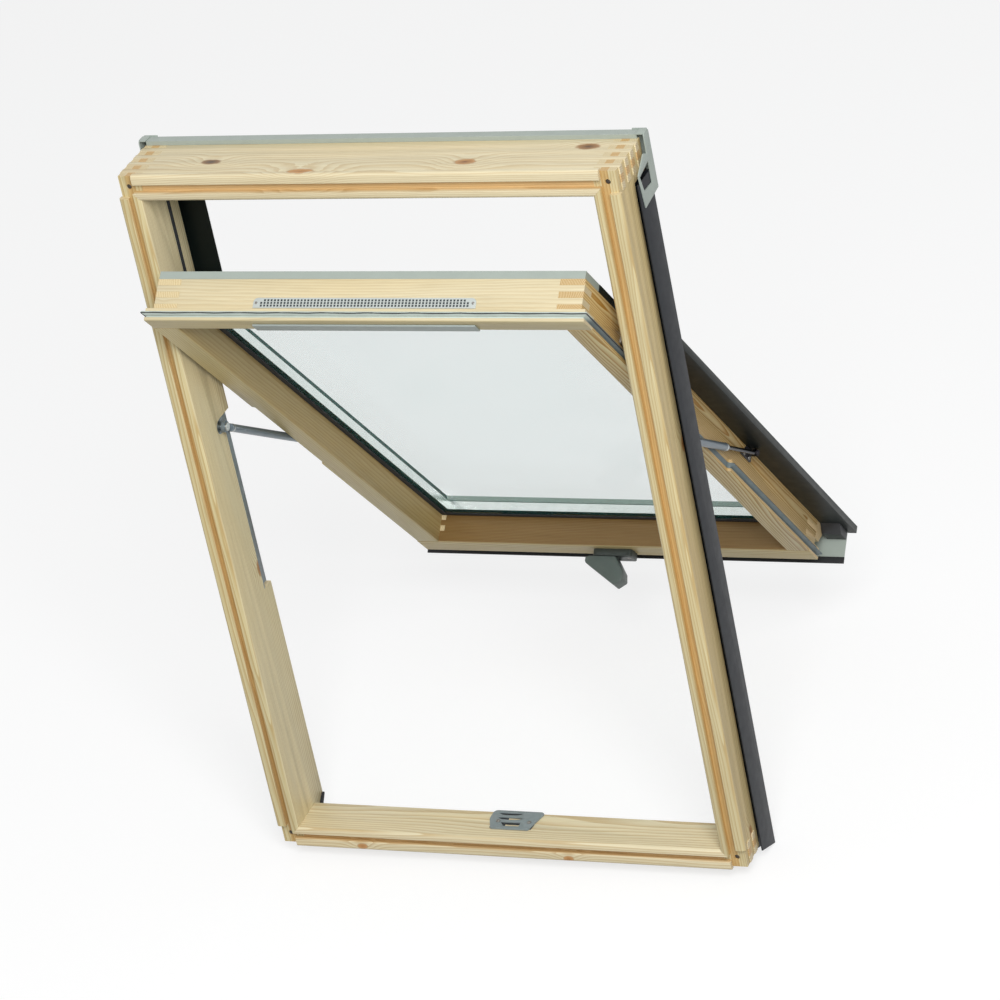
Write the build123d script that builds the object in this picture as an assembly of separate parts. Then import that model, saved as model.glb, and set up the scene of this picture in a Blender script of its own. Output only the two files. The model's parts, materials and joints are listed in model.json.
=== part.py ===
from build123d import *
import math
import os

# A pine roof skylight with its frame: a top-hung sash that turns high up in the frame on curved
# track hinges and is held open by two gas struts. Sizes are millimetres, angles are degrees.
# X runs across the window, Y from the room out through the roof, Z up the slope. The origin is
# the middle of the frame's lower outer face. A depth is counted from the plane of the lining
# groove towards the roof, an inset from the frame's outer side face towards the opening.

# Frame
frame_width = 780.0
frame_height = 1180.0
frame_depth = 104.0
member_width = 36.0
stile_depth = 91.0
bottom_rail_depth = 59.0
rebate_width = 6.0
rebate_depth = 57.6
head_block_height = 49.0
corner_layers = 9
finger_step = 1.6
outer_lip_width = 12.5
outer_lip_height = 8.0
outer_lip_overhang = 3.5
outer_lip_root = 2.0
outer_lip_start = 34.0
outer_lip_round = 5.0
inner_lip_width = 12.0
inner_lip_height = 12.0
inner_lip_round = 5.0
lip_cut = 1.2
slant_height = 26.0
corner_screw_x = 14.5
corner_screw_z = 17.5
corner_screw_sink = 1.0
corner_sink_clearance = 0.6
corner_screw_length = 38.0
screw_radius = 2.1
screw_sides = 8
plate_hole_clearance = 0.1
pan_head_radius = 3.8
pan_head_height = 1.6

# Sash in its closed place
sash_side_gap = 9.0
sash_top_gap = 5.5
sash_bottom_gap = 10.0
sash_face_depth = 25.0
sash_depth = 67.0
lip_depth = 19.0
side_lip = 9.0
top_lip = 7.4
sash_edge_cut = 1.6
seal_groove_start = 5.0
seal_groove_end = 14.0
seal_groove_depth = 7.0
seal_reach = 5.0
stile_face = 39.0
top_face = 35.4
bottom_face = 47.5
glass_seat = 46.5
glass_cover = 8.0
glass_clearance = 4.0
bottom_step_depth = 36.5
bottom_overhang = 30.0
bottom_slant_start = 12.0
bottom_slant_rise = 14.0
sash_layers = 5
finger_length = 38.0

# Glazing
gasket_thickness = 2.0
gasket_width = 21.0
pane_thickness = 4.0
pane_gap = 14.0
spacer_width = 13.0
spacer_inset = 10.0
block_length = 90.0

# Folded sheet covers
sheet = 1.0
cladding_offset = 8.0
cladding_front = 49.0
cladding_back = 103.5
cladding_tail = 25.8
cladding_slant = 22.3
cladding_hem = 5.0
drip_edge = 7.0
drip_height = 2.0
cover_underside = 106.0
cover_reach = 73.0
cover_leg_inset = 28.0
cover_height = 12.0
glass_overlap = 6.0
side_overhang = 38.0
side_cover_tail = 64.0
apron_distance = 57.0
apron_lower = 23.0
apron_inset = 20.0
corner_cap_length = 44.0
corner_cap_drop = 14.0
casing_front = 100.0
casing_back = 116.0
casing_rise = 7.0
casing_drop = 58.0
corner_neck_depth = 98.0
corner_drop = 84.0
corner_wall = 1.6
casing_reach = 20.0
bend_cut = 0.5

# Hinge with a curved track about an axis outside the wood
pivot_depth = 149.0
pivot_drop = 285.0
open_angle = 40.9
track_radius = 84.5
track_width = 7.0
track_clearance = 0.3
tongue_angle = 20.0
tongue_half_angle = 12.0
track_end_clearance = 1.5
hinge_plate_length = 124.0
hinge_plate_front = 50.0
hinge_plate_thickness = 5.0
hinge_plate_round = 6.0
hinge_recess = 2.5
hinge_screw_inset = 10.0
hinge_screw_depth = 8.0
hinge_screw_length = 24.0
sash_plate_thickness = 3.0
sash_plate_length = 108.0
sash_plate_front = 26.0
sash_plate_back = 62.0
sash_plate_cut = 3.0
sash_screw_inset = 8.0
sash_screw_length = 22.0
tongue_tip_gap = 0.7
split_clearance = 3.0
jamb_seal_near = 58.0
jamb_seal_far = 66.0
jamb_seal_proud = 1.6
jamb_seal_gap = 6.0

# Gas struts
strut_x_inset = 43.5
strut_pivot_depth = 54.0
strut_drop = 166.0
stud_reach = 492.5
stud_t = 60.5
cylinder_radius = 6.25
cylinder_length = 314.6
cylinder_bore = 5.0
cylinder_neck = 16.0
cylinder_cap = 6.0
rod_radius = 3.5
running_clearance = 0.05
guide_length = 12.0
piston_length = 10.0
piston_clearance = 0.3
rod_length = 265.0
eye_radius = 9.0
eye_thickness = 6.0
pin_radius = 4.0
pin_head_radius = 6.5
pin_head_height = 2.2
stud_radius = 2.5
stud_head_radius = 4.6
stud_head_height = 3.0
stud_head_gap = 0.1
hook_radius = 6.0
hook_mouth = 4.4
hook_mouth_turn = 25.5
bracket_thickness = 2.5
bracket_lead = 37.0
bracket_step = 14.0
bracket_tail = 10.0
bracket_near = 47.0
bracket_cut = 2.0
bracket_screw_pitch = 24.0
bracket_screw_t = 52.0
bracket_screw_length = 20.0
notch_above = 12.0
notch_length = 309.0
notch_width = 16.0
notch_depth = 66.0
strut_leg_height = 12.0
strut_leg_end = 9.0
strut_plate_thickness = 2.5
strut_pad_radius = 11.5
recess_clearance = 0.3
lip_notch_drop = 133.5
lip_notch_length = 271.0
lip_notch_width = 6.0

# Vent in the sash's top rail
vent_length = 350.0
vent_front = 21.6
vent_back = 37.5
vent_plate = 1.6
vent_rows = 2
vent_columns = 16
vent_slot_width = 18.0
vent_slot_height = 4.4
vent_margin = 9.0
vent_screw_radius = 1.1
vent_screw_length = 14.0
duct_width = 10.0
duct_margin = 16.0
duct_wall = 8.0
duct_mouth = 4.0
flap_thickness = 2.8
flap_gap = 0.3
flap_height = 20.0
flap_edge = 33.5

# Handle, latch and striker
handle_x = 0.0
handle_base_length = 70.0
handle_base_height = 30.0
handle_base_thickness = 12.0
handle_base_edge = 3.0
handle_base_round = 9.0
handle_base_cut = 3.0
handle_screw_inset = 9.0
handle_bore = 7.0
handle_screw_length = 32.0
spindle_clearance = 0.05
grip_length = 70.0
grip_rise = 38.7
grip_thickness = 12.0
grip_height = 26.0
grip_near = 3.0
grip_offset = 46.0
bolt_width = 22.0
bolt_thickness = 4.0
bolt_travel = 12.0
bolt_inner_end = 12.0
bolt_gap = 0.3
bolt_pocket_clearance = 6.0
airing_step = 17.0
striker_front = 12.0
striker_back = 61.0
striker_long = 86.0
striker_short = 62.0
striker_corner = 12.0
striker_thickness = 2.5
striker_screw_reach = 15.0
striker_screw_length = 24.0
slot_clearance = 1.0


def y_at(depth):
    return depth - frame_depth / 2


def x_at(inset):
    return inset - frame_width / 2


pivot_height = frame_height - pivot_drop
strut_pivot_height = pivot_height - strut_drop
notch_top = strut_pivot_height + notch_above
notch_bottom = notch_top - notch_length
apron_half_width = frame_width / 2 - apron_inset
sash_half = frame_width / 2 - member_width - sash_side_gap
sash_top = frame_height - member_width - sash_top_gap
sash_length = sash_top - member_width - sash_bottom_gap
body_half = sash_half - side_lip
glass_half = sash_half - stile_face + glass_cover
glass_top = top_face - glass_cover
glass_bottom = sash_length - bottom_face + glass_cover
inner_pane_t = glass_seat + gasket_thickness
outer_pane_t = inner_pane_t + pane_thickness + pane_gap
glass_outer_t = outer_pane_t + pane_thickness
cover_t = sash_depth + cover_height
split_s = sash_top - pivot_height
stud_s = split_s + stud_reach
lip_notch_start = split_s + lip_notch_drop
lip_notch_end = lip_notch_start + lip_notch_length
top_casing_end = top_face + glass_overlap + casing_reach


def sash_x(inset):
    """X of an inset from the sash's left edge."""
    return inset - sash_half


def face_of(points, rounds=(), cuts=()):
    """Face with the given corners; rounds and cuts list (corner index, size)."""
    face = make_face(Polyline(*points, close=True))
    for shape, corners in ((fillet, rounds), (chamfer, cuts)):
        for index, size in corners:
            corner = face.vertices().sort_by_distance((*points[index], 0))[0]
            face = shape(corner, size)
    return face


def along_z(points, low, high, rounds=(), cuts=()):
    """Extrude an outline of (x, depth) points up the slope."""
    solid = extrude(face_of(points, rounds, cuts), amount=high - low, dir=(0, 0, 1))
    return Pos(0, y_at(0), low) * solid


def along_x(points, left, right, rounds=(), cuts=()):
    """Extrude an outline of (depth, z) points across the window."""
    solid = extrude(face_of(points, rounds, cuts), amount=right - left, dir=(0, 0, 1))
    return Plane((left, y_at(0), 0), x_dir=(0, 1, 0), z_dir=(1, 0, 0)) * solid


def along_depth(points, near, far, rounds=(), cuts=()):
    """Extrude an outline of (x, z) points through the roof."""
    solid = extrude(face_of(points, rounds, cuts), amount=far - near, dir=(0, 0, 1))
    return Plane((0, y_at(far), 0), x_dir=(1, 0, 0), z_dir=(0, -1, 0)) * solid


def block(x_range, depth_range, z_range):
    low_x, high_x = x_range
    near, far = depth_range
    corners = [(low_x, near), (high_x, near), (high_x, far), (low_x, far)]
    return along_z(corners, *z_range)


def closed_point(s, t):
    """Depth and height of a sash point: s down from its top edge, t out from its room face."""
    return sash_face_depth + t, sash_top - s


def sash_across(points, left, right, rounds=(), cuts=()):
    """Extrude an outline of (s, t) points across the closed sash."""
    return along_x([closed_point(s, t) for s, t in points], left, right, rounds, cuts)


def sash_down(points, start, end, rounds=(), cuts=()):
    """Extrude an outline of (x, t) points down the closed sash."""
    moved = [(x, sash_face_depth + t) for x, t in points]
    return along_z(moved, sash_top - end, sash_top - start, rounds, cuts)


def sash_block(x_range, s_range, t_range):
    low, high = s_range
    near, far = t_range
    corners = [(low, near), (high, near), (high, far), (low, far)]
    return sash_across(corners, *x_range)


def rod_along_x(depth, z, radius, left, right):
    """Round bar across the window."""
    bar = Cylinder(radius, right - left)
    return Pos((left + right) / 2, y_at(depth), z) * Rot(0, 90, 0) * bar


def rod_along_depth(x, z, radius, near, far):
    """Round bar through the roof."""
    bar = Cylinder(radius, far - near)
    return Pos(x, y_at((near + far) / 2), z) * Rot(90, 0, 0) * bar


def screw_body(radius, low, high):
    """Bar of a small fastener or its hole along its own Z, with few flat sides."""
    return Pos(0, 0, low) * extrude(RegularPolygon(radius, screw_sides), amount=high - low)


def screw_shape(length, head=0.0, hole=0.0):
    """Pan-head screw pointing down its own Z from the face that it holds; hole widens it."""
    screw = screw_body(screw_radius + hole, -length, 0)
    if head:
        screw += screw_body(head, 0, pan_head_height)
    return screw


def sheet_outline(path, thickness):
    """Closed outline of a folded sheet: the path is one side, thickness lies to its left."""
    inner = []
    for index, (px, py) in enumerate(path):
        normals = []
        for first, second in ((index - 1, index), (index, index + 1)):
            if first < 0 or second >= len(path):
                continue
            run = (path[second][0] - path[first][0], path[second][1] - path[first][1])
            length = math.hypot(*run)
            normals.append((-run[1] / length, run[0] / length))
        nx = sum(n[0] for n in normals) / len(normals)
        ny = sum(n[1] for n in normals) / len(normals)
        scale = thickness / (nx * nx + ny * ny)
        inner.append((px + nx * scale, py + ny * scale))
    return list(path) + inner[::-1]


def mirrored(solid):
    return mirror(solid, about=Plane.YZ)


pivot_pose = Pos(0, y_at(pivot_depth), pivot_height)
sash_pose = pivot_pose * Rot(open_angle, 0, 0) * Pos(0, -y_at(pivot_depth), -pivot_height)


def opened(solid):
    """Turn a piece of the closed sash to the open place in which the window is modelled."""
    return sash_pose * solid


def frame_layers(depth):
    """Depth ranges of the comb joint's layers, down to the given depth."""
    layer = frame_depth / corner_layers
    count = min(corner_layers, int(depth / layer + 0.5))
    return [(index * layer, (index + 1) * layer) for index in range(count)]


def outer_lip_outline(edge, direction):
    """Outline of the outer lip; edge is the outer face and direction points to the opening."""
    out = edge - direction * outer_lip_overhang
    back = edge + direction * outer_lip_width
    return [
        (out, outer_lip_root),
        (out, -outer_lip_height),
        (back, -outer_lip_height),
        (back, 0),
        (edge, 0),
        (edge, outer_lip_root),
    ]


def inner_lip_outline(edge, direction):
    """Outline of the inner lip, from the groove to the opening's edge."""
    near = edge + direction * (member_width - inner_lip_width)
    far = edge + direction * member_width
    return [(near, 0), (near, -inner_lip_height), (far, -inner_lip_height), (far, 0)]


def mitred_window(low, high):
    """Tapered outline that mitres both ends of a lip running from low to high."""
    groove = member_width - inner_lip_width
    return [
        (groove, low + groove),
        (member_width, low + member_width),
        (member_width, high - member_width),
        (groove, high - groove),
    ]


def strut_notch():
    """Room cut for the strut in the back corner of a left stile."""
    return block(
        (x_at(member_width - notch_width), x_at(member_width) + 1),
        (notch_depth, stile_depth + 1),
        (notch_bottom, notch_top),
    )


def strut_pad(radius, start, end):
    return rod_along_x(strut_pivot_depth, strut_pivot_height, radius, x_at(start), x_at(end))


def strut_pad_recess():
    """Recess of the strut plate's pad in the stile's face."""
    start = member_width - strut_plate_thickness
    radius = strut_pad_radius + recess_clearance
    web = block((x_at(start), x_at(member_width) + 1), (strut_pivot_depth, notch_depth + 1),
                (strut_pivot_height - radius, notch_top + recess_clearance))
    return strut_pad(radius, start, member_width + 1) + web


def hinge_outline(clearance):
    """Outline in (depth, z) of the frame's hinge plate."""
    half = hinge_plate_length / 2 + clearance
    front = hinge_plate_front - clearance
    back = stile_depth - 0.5 if clearance == 0 else stile_depth + 1
    low = pivot_height - half
    high = pivot_height + half
    return [(front, low), (back, low), (back, high), (front, high)]


def frame_stile_left():
    inner = x_at(member_width)
    outer = x_at(0)
    rebate = x_at(rebate_width)
    outline = [
        (outer, 0),
        (inner, 0),
        (inner, stile_depth),
        (rebate, stile_depth),
        (rebate, rebate_depth),
        (outer, rebate_depth),
    ]
    stile = along_z(outline, member_width, frame_height - member_width)
    head_low = frame_height - head_block_height
    stile += block((outer, inner), (0, frame_depth), (head_low, frame_height - member_width))
    lip_high = frame_height - outer_lip_start
    stile += along_z(outer_lip_outline(outer, 1), outer_lip_start, lip_high,
                     [(1, outer_lip_round)], [(2, lip_cut)])
    inner_lip = along_z(inner_lip_outline(outer, 1), 0, frame_height, [(2, inner_lip_round)])
    window = [(x_at(u), z) for u, z in mitred_window(0, frame_height)]
    stile += inner_lip & along_depth(window, -inner_lip_height - 1, 3)
    for index, layer in enumerate(frame_layers(frame_depth)):
        if index % 2 == 0:
            stile += block((outer, inner), layer, (frame_height - member_width, frame_height))
    for index, layer in enumerate(frame_layers(bottom_rail_depth)):
        if index % 2 == 0:
            stile += block((outer, inner), layer, (0, member_width))
    foot = [
        (rebate_depth, member_width),
        (rebate_depth, member_width - slant_height),
        (stile_depth, member_width),
    ]
    stile += along_x(foot, rebate, inner)
    stile -= strut_notch()
    stile -= strut_pad_recess()
    recess = x_at(member_width - hinge_recess)
    outline = hinge_outline(recess_clearance)
    stile -= along_x(outline, recess, inner + 1, [(0, hinge_plate_round), (3, hinge_plate_round)])
    stile -= frame_hinge_screws()
    return stile - corner_screw_holes()


def rail_lips(edge, direction):
    """Both lips of a rail; edge is its outer face and direction points to the opening."""
    low_x = x_at(member_width - inner_lip_width)
    outer = along_x([(d, z) for z, d in outer_lip_outline(edge, direction)], low_x, -low_x,
                    [(1, outer_lip_round)], [(2, lip_cut)])
    inner = along_x([(d, z) for z, d in inner_lip_outline(edge, direction)],
                    x_at(0), -x_at(0), [(2, inner_lip_round)])
    window = [(z, edge + direction * u) for u, z in mitred_window(x_at(0), -x_at(0))]
    return outer + (inner & along_depth(window, -inner_lip_height - 1, 3))


def rail_fingers(low, high, depth):
    """The rail's share of the comb joint at both ends."""
    fingers = []
    for index, layer in enumerate(frame_layers(depth)):
        if index % 2 == 1:
            near = x_at(0) - finger_step
            fingers.append(block((near, x_at(member_width)), layer, (low, high)))
            fingers.append(block((-x_at(member_width), -near), layer, (low, high)))
    return fingers


def frame_top_rail():
    low = frame_height - member_width
    inner = x_at(member_width)
    rail = block((inner, -inner), (0, frame_depth), (low, frame_height))
    rail += rail_lips(frame_height, -1)
    rail += rail_fingers(low, frame_height, frame_depth)
    return rail - corner_screw_holes()


def frame_bottom_rail():
    inner = x_at(member_width)
    rail = block((inner, -inner), (0, bottom_rail_depth), (0, member_width))
    rail += rail_lips(0, 1)
    rail += rail_fingers(0, member_width, bottom_rail_depth)
    rail -= bolt_pocket()
    rail -= striker_screws()
    return rail - corner_screw_holes()


def corner_screw_places():
    for side in (-1, 1):
        for z in (corner_screw_z, frame_height - corner_screw_z):
            yield side * (frame_width / 2 - corner_screw_x), z


def screw_into_roof(x, z, depth, length):
    """Screw through the roof, its head resting on the given depth."""
    seat = Plane((x, y_at(depth), z), x_dir=(1, 0, 0), z_dir=(0, -1, 0))
    return seat * screw_shape(length, pan_head_radius)


def corner_screw_holes():
    holes = []
    for x, z in corner_screw_places():
        seat = Plane((x, y_at(0), z), x_dir=(1, 0, 0), z_dir=(0, -1, 0))
        sink = corner_screw_sink + pan_head_height
        holes.append(seat * screw_body(pan_head_radius + corner_sink_clearance, -sink, 1))
        holes.append(seat * screw_body(screw_radius, -sink - corner_screw_length, 0))
    return holes


def frame_corner_screws():
    """Sunk screws through the comb joints, pointing to the roof."""
    return [screw_into_roof(x, z, corner_screw_sink + pan_head_height, corner_screw_length)
            for x, z in corner_screw_places()]


def side_cladding_left():
    """Channel of folded sheet round the stile's outer back corner."""
    out = x_at(-cladding_offset)
    leg = x_at(rebate_width)
    hem = cladding_front + cladding_hem
    outline = [
        (out, cladding_front),
        (out, cladding_back),
        (leg, cladding_back),
        (leg, rebate_depth + 0.5),
        (leg - sheet, rebate_depth + 0.5),
        (leg - sheet, cladding_back - sheet),
        (out + sheet, cladding_back - sheet),
        (out + sheet, hem),
        (out + 2 * sheet, hem),
        (out + 2 * sheet, cladding_front),
    ]
    top = frame_height - head_block_height
    channel = along_z(outline, -cladding_tail, top, cuts=[(1, bend_cut), (2, bend_cut)])
    slant = [
        (cladding_front - 1, -cladding_tail - 1),
        (cladding_back + 1, -cladding_tail - 1),
        (cladding_front - 1, -cladding_tail + cladding_slant),
    ]
    return channel - along_x(slant, out - 1, leg + 1)


def bottom_cladding():
    """Angle behind the bottom rail, with a drip edge towards the roof."""
    path = [
        (bottom_rail_depth + drip_edge, drip_height),
        (bottom_rail_depth, drip_height),
        (bottom_rail_depth, member_width - 3),
    ]
    edge = x_at(member_width)
    return along_x(sheet_outline(path, -sheet), edge, -edge)


def upper_cover_left():
    """Fixed cover over the sash's edge above the hinge."""
    inner = x_at(cover_reach)
    outer = x_at(0)
    leg = x_at(cover_leg_inset)
    high = cover_underside + sheet
    outline = [
        (outer, cladding_back),
        (outer, high),
        (inner, high),
        (inner, cover_underside - sheet),
        (inner - sheet, cover_underside - sheet),
        (inner - sheet, cover_underside),
        (leg + sheet, cover_underside),
        (leg + sheet, stile_depth),
        (leg, stile_depth),
        (leg, cover_underside),
        (outer + sheet, cover_underside),
        (outer + sheet, cladding_back),
    ]
    low = pivot_height + split_clearance
    top = frame_height - head_block_height
    return along_z(outline, low, top, cuts=[(1, bend_cut), (2, bend_cut)])


def frame_top_casing():
    """Folded casing on the top rail's back edge."""
    top = frame_height + casing_rise
    foot = 4.0
    path = [
        (casing_front + foot, frame_height),
        (casing_front, frame_height),
        (casing_front, top),
        (casing_back, top),
        (casing_back, top - casing_drop),
        (cover_underside + 2, top - casing_drop),
    ]
    edge = x_at(0) + 2
    return along_x(sheet_outline(path, -sheet), edge, -edge)


def casing_corner_left():
    """Moulded corner piece between the top casing and the side cladding."""
    out = x_at(-cladding_offset)
    wall = corner_wall
    top = frame_height + casing_rise + wall
    low = frame_height - corner_drop
    near = corner_neck_depth
    far = casing_back + wall
    outline = [
        (near, top),
        (far, top),
        (far, low),
        (near - 38, low - 5),
        (near - 45, low + 48),
        (near - 14, low + 68),
        (near, low + 62),
    ]
    side = along_x(outline, out - wall, out, cuts=[(0, 2 * wall), (1, 2 * wall)])
    opening = [(near + 0.5, low + 51), (near, low + 17), (near - 33, low + 19), (near - 40, low + 44)]
    side -= along_x(opening, out - wall - 1, out + 1)
    back = block((out, x_at(14)), (casing_back, far), (low, top))
    cap = block((out, x_at(2)), (near, casing_back), (top - wall, top))
    return side + back + cap


def frame_seals():
    """Rubber strips on the faces of the opening above the hinge."""
    near = jamb_seal_near
    far = jamb_seal_far
    proud = jamb_seal_proud
    low = pivot_height + hinge_plate_length / 2 + jamb_seal_gap
    high = frame_height - member_width
    side = x_at(member_width)
    outline = [(side, near), (side + proud, near + 1), (side + proud, far - 1), (side, far)]
    left = along_z(outline, low, high - proud)
    strip = [(near, high), (near + 1, high - proud), (far - 1, high - proud), (far, high)]
    return [left, mirrored(left), along_x(strip, side + proud + 1, -side - proud - 1)]


def arc_band(inner, outer, start, end):
    """Face of a ring sector about the hinge axis; angles rise from the room side upwards."""
    def at(radius, angle):
        turn = math.radians(angle)
        return (pivot_depth - radius * math.cos(turn), pivot_height + radius * math.sin(turn))

    middle = (start + end) / 2
    edges = [
        ThreePointArc(at(outer, start), at(outer, middle), at(outer, end)),
        Line(at(outer, end), at(inner, end)),
        ThreePointArc(at(inner, end), at(inner, middle), at(inner, start)),
        Line(at(inner, start), at(outer, start)),
    ]
    return make_face(edges)


def arc_solid(inner, outer, start, end, left, right):
    solid = extrude(arc_band(inner, outer, start, end), amount=right - left, dir=(0, 0, 1))
    return Plane((left, y_at(0), 0), x_dir=(0, 1, 0), z_dir=(1, 0, 0)) * solid


def hinge_screw_heights():
    reach = hinge_plate_length / 2 - hinge_screw_inset
    return [pivot_height - reach, pivot_height + reach]


def hinge_plate_left():
    """Plate let into the stile, with the curved track of the sash's tongue."""
    back = x_at(member_width - hinge_recess)
    front = back + hinge_plate_thickness
    plate = along_x(hinge_outline(0), back, front, [(0, hinge_plate_round), (3, hinge_plate_round)])
    inner = track_radius - track_width / 2
    high = tongue_angle + tongue_half_angle + track_end_clearance
    low = tongue_angle - open_angle - tongue_half_angle - track_end_clearance
    plate -= arc_solid(inner, inner + track_width, low, high, back - 1, front + 1)
    for z in hinge_screw_heights():
        plate -= side_hole(hinge_plate_front + hinge_screw_depth, z, back, hinge_plate_thickness)
    return plate


def side_screw(depth, z, head_x, direction, length):
    """Pan-head screw lying across the window, its head standing on head_x."""
    return side_seat(depth, z, head_x, direction) * screw_shape(length, pan_head_radius)


def side_seat(depth, z, x, direction):
    """Seat of a screw that points along X in the given direction."""
    return Plane((x, y_at(depth), z), x_dir=(0, 0, 1), z_dir=(-direction, 0, 0))


def side_hole(depth, z, x, thickness):
    """Hole for a screw through a plate that lies across X."""
    radius = screw_radius + plate_hole_clearance
    return side_seat(depth, z, x, 1) * screw_body(radius, -thickness - 1, 1)


def frame_hinge_screws():
    face = x_at(member_width - hinge_recess) + hinge_plate_thickness
    screws = []
    for z in hinge_screw_heights():
        screw = side_screw(hinge_plate_front + hinge_screw_depth, z, face, -1, hinge_screw_length)
        screws += [screw, mirrored(screw)]
    return screws


def sash_hinge_left():
    """Plate on the sash's side with the curved tongue that runs in the frame's track."""
    face = sash_x(side_lip)
    plate_x = face - sash_plate_thickness
    centre_s = tongue_s()
    half = sash_plate_length / 2
    corners = [
        (centre_s - half, sash_plate_front),
        (centre_s + half, sash_plate_front),
        (centre_s + half, sash_plate_back),
        (centre_s - half, sash_plate_back),
    ]
    plate = sash_across(corners, plate_x, face, cuts=[(index, sash_plate_cut) for index in range(4)])
    for s, t in sash_hinge_screw_places():
        plate -= side_hole(*closed_point(s, t), plate_x, sash_plate_thickness)
    inner = track_radius - track_width / 2 + track_clearance
    outer = track_radius + track_width / 2 - track_clearance
    tip = x_at(member_width - hinge_recess) + tongue_tip_gap
    tongue = arc_solid(inner, outer, tongue_angle - tongue_half_angle,
                       tongue_angle + tongue_half_angle, tip, plate_x)
    return plate + tongue


def tongue_s():
    """Place of the tongue's middle along the sash, which is also that of its plate."""
    return split_s - track_radius * math.sin(math.radians(tongue_angle))


def sash_hinge_screw_places():
    reach = sash_plate_length / 2 - sash_screw_inset
    middle = (sash_plate_front + sash_plate_back) / 2
    return [(tongue_s() - reach, middle), (tongue_s() + reach, middle)]


def sash_hinge_screws():
    plate_x = sash_x(side_lip) - sash_plate_thickness
    screws = []
    for s, t in sash_hinge_screw_places():
        depth, z = closed_point(s, t)
        screw = side_screw(depth, z, plate_x, 1, sash_screw_length)
        screws += [screw, mirrored(screw)]
    return screws


def sash_layer_ranges():
    layer = (sash_depth - lip_depth) / sash_layers
    return [(lip_depth + index * layer, lip_depth + (index + 1) * layer)
            for index in range(sash_layers)]


def lip_notch():
    """Room in the sash's left lip for the strut, with rounded ends."""
    left = sash_x(0) - seal_reach - 1
    right = sash_x(lip_notch_width)
    high = sash_top - lip_notch_start
    low = sash_top - lip_notch_end
    corners = [(left, low), (right, low), (right, high), (left, high)]
    rounds = [(1, lip_notch_width - 1), (2, lip_notch_width - 1)]
    return along_depth(corners, sash_face_depth - 1, sash_face_depth + lip_depth + 1, rounds)


def member_outline(lip, face):
    """Outline in (inset, t) of a sash member: lip, seal groove, body and glazing seat."""
    seat = face - glass_cover - glass_clearance
    return [
        (0, 0),
        (face, 0),
        (face, glass_seat),
        (seat, glass_seat),
        (seat, sash_depth),
        (lip, sash_depth),
        (lip, lip_depth),
        (0, lip_depth),
        (0, seal_groove_end),
        (seal_groove_depth, seal_groove_end),
        (seal_groove_depth, seal_groove_start),
        (0, seal_groove_start),
    ]


def sash_stile_left():
    outline = [(sash_x(u), t) for u, t in member_outline(side_lip, stile_face)]
    cuts = [(0, sash_edge_cut), (1, sash_edge_cut)]
    stile = sash_down(outline, top_face, sash_length - bottom_face, cuts=cuts)
    outer = sash_x(side_lip)
    inner = outer + finger_length
    for index, layer in enumerate(sash_layer_ranges()):
        if index % 2 == 0:
            stile += sash_block((outer, inner), (top_lip, top_face), layer)
            low = sash_length - bottom_face
            stile += sash_block((outer, inner), (low, sash_length), layer)
    stile -= glass_pocket(1)
    stile -= sash_hinge_screws()
    stile -= strut_bracket_screws()
    return stile - lip_notch()


def sash_rail_fingers(s_range):
    """Layers of a sash rail between and beside the stiles' fingers."""
    pieces = []
    inner = body_half - finger_length
    for index, layer in enumerate(sash_layer_ranges()):
        half = inner if index % 2 == 0 else body_half
        pieces.append(sash_block((-half, half), s_range, layer))
    return pieces


def glass_pocket(extra):
    """Room for the glazing unit, a little larger than the panes."""
    side = glass_half + glass_clearance
    return sash_block((-side, side), (glass_top - glass_clearance, glass_bottom + glass_clearance),
                      (glass_seat, sash_depth + extra))


def groove_between(s_edge, s_inner):
    return sash_block((-sash_half - 1, sash_half + 1), (min(s_edge, s_inner), max(s_edge, s_inner)),
                      (seal_groove_start, seal_groove_end))


def sash_top_rail():
    face_part = [(0, 0), (top_face, 0), (top_face, lip_depth), (0, lip_depth)]
    cuts = [(0, sash_edge_cut), (1, sash_edge_cut)]
    rail = sash_across(face_part, -sash_half, sash_half, cuts=cuts)
    rail += sash_rail_fingers((top_lip, top_face))
    rail -= groove_between(-1, seal_groove_depth)
    rail -= side_groove_ends(-1, top_face + 1)
    rail -= glass_pocket(1)
    rail -= vent_duct()
    return rail - vent_screws()


def side_groove_ends(start, end):
    """The seal groove of the sides carried through the rails' ends."""
    left = sash_block((-sash_half - 1, -sash_half + seal_groove_depth), (start, end),
                      (seal_groove_start, seal_groove_end))
    return [left, mirrored(left)]


def sash_bottom_rail():
    start = sash_length - bottom_face
    face_part = [(start, 0), (sash_length, 0), (sash_length, lip_depth), (start, lip_depth)]
    cuts = [(0, sash_edge_cut), (1, sash_edge_cut)]
    rail = sash_across(face_part, -sash_half, sash_half, cuts=cuts)
    rail += sash_rail_fingers((start, sash_length))
    end = sash_length + bottom_overhang
    overhang = [
        (sash_length, bottom_step_depth),
        (end - bottom_slant_start, bottom_step_depth),
        (end, bottom_step_depth + bottom_slant_rise),
        (end, sash_depth),
        (sash_length, sash_depth),
    ]
    rail += sash_across(overhang, -body_half, body_half)
    rail -= groove_between(sash_length - seal_groove_depth, sash_length + 1)
    rail -= side_groove_ends(start - 1, sash_length + 1)
    rail -= glass_pocket(1)
    return rail - handle_screws()


def seal_outline(edge, direction):
    """Outline of the sealing strip in its groove, from a sash edge outwards."""
    reach = seal_reach
    points = [
        (seal_groove_depth, seal_groove_start + 0.2),
        (seal_groove_depth, seal_groove_end),
        (0, seal_groove_end),
        (-reach + 1, seal_groove_end - 1),
        (-reach, seal_groove_end - 3),
        (0, seal_groove_start + 3),
        (2, seal_groove_start + 2.4),
        (2, seal_groove_start + 0.2),
    ]
    return [(edge + direction * u, t) for u, t in points]


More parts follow.
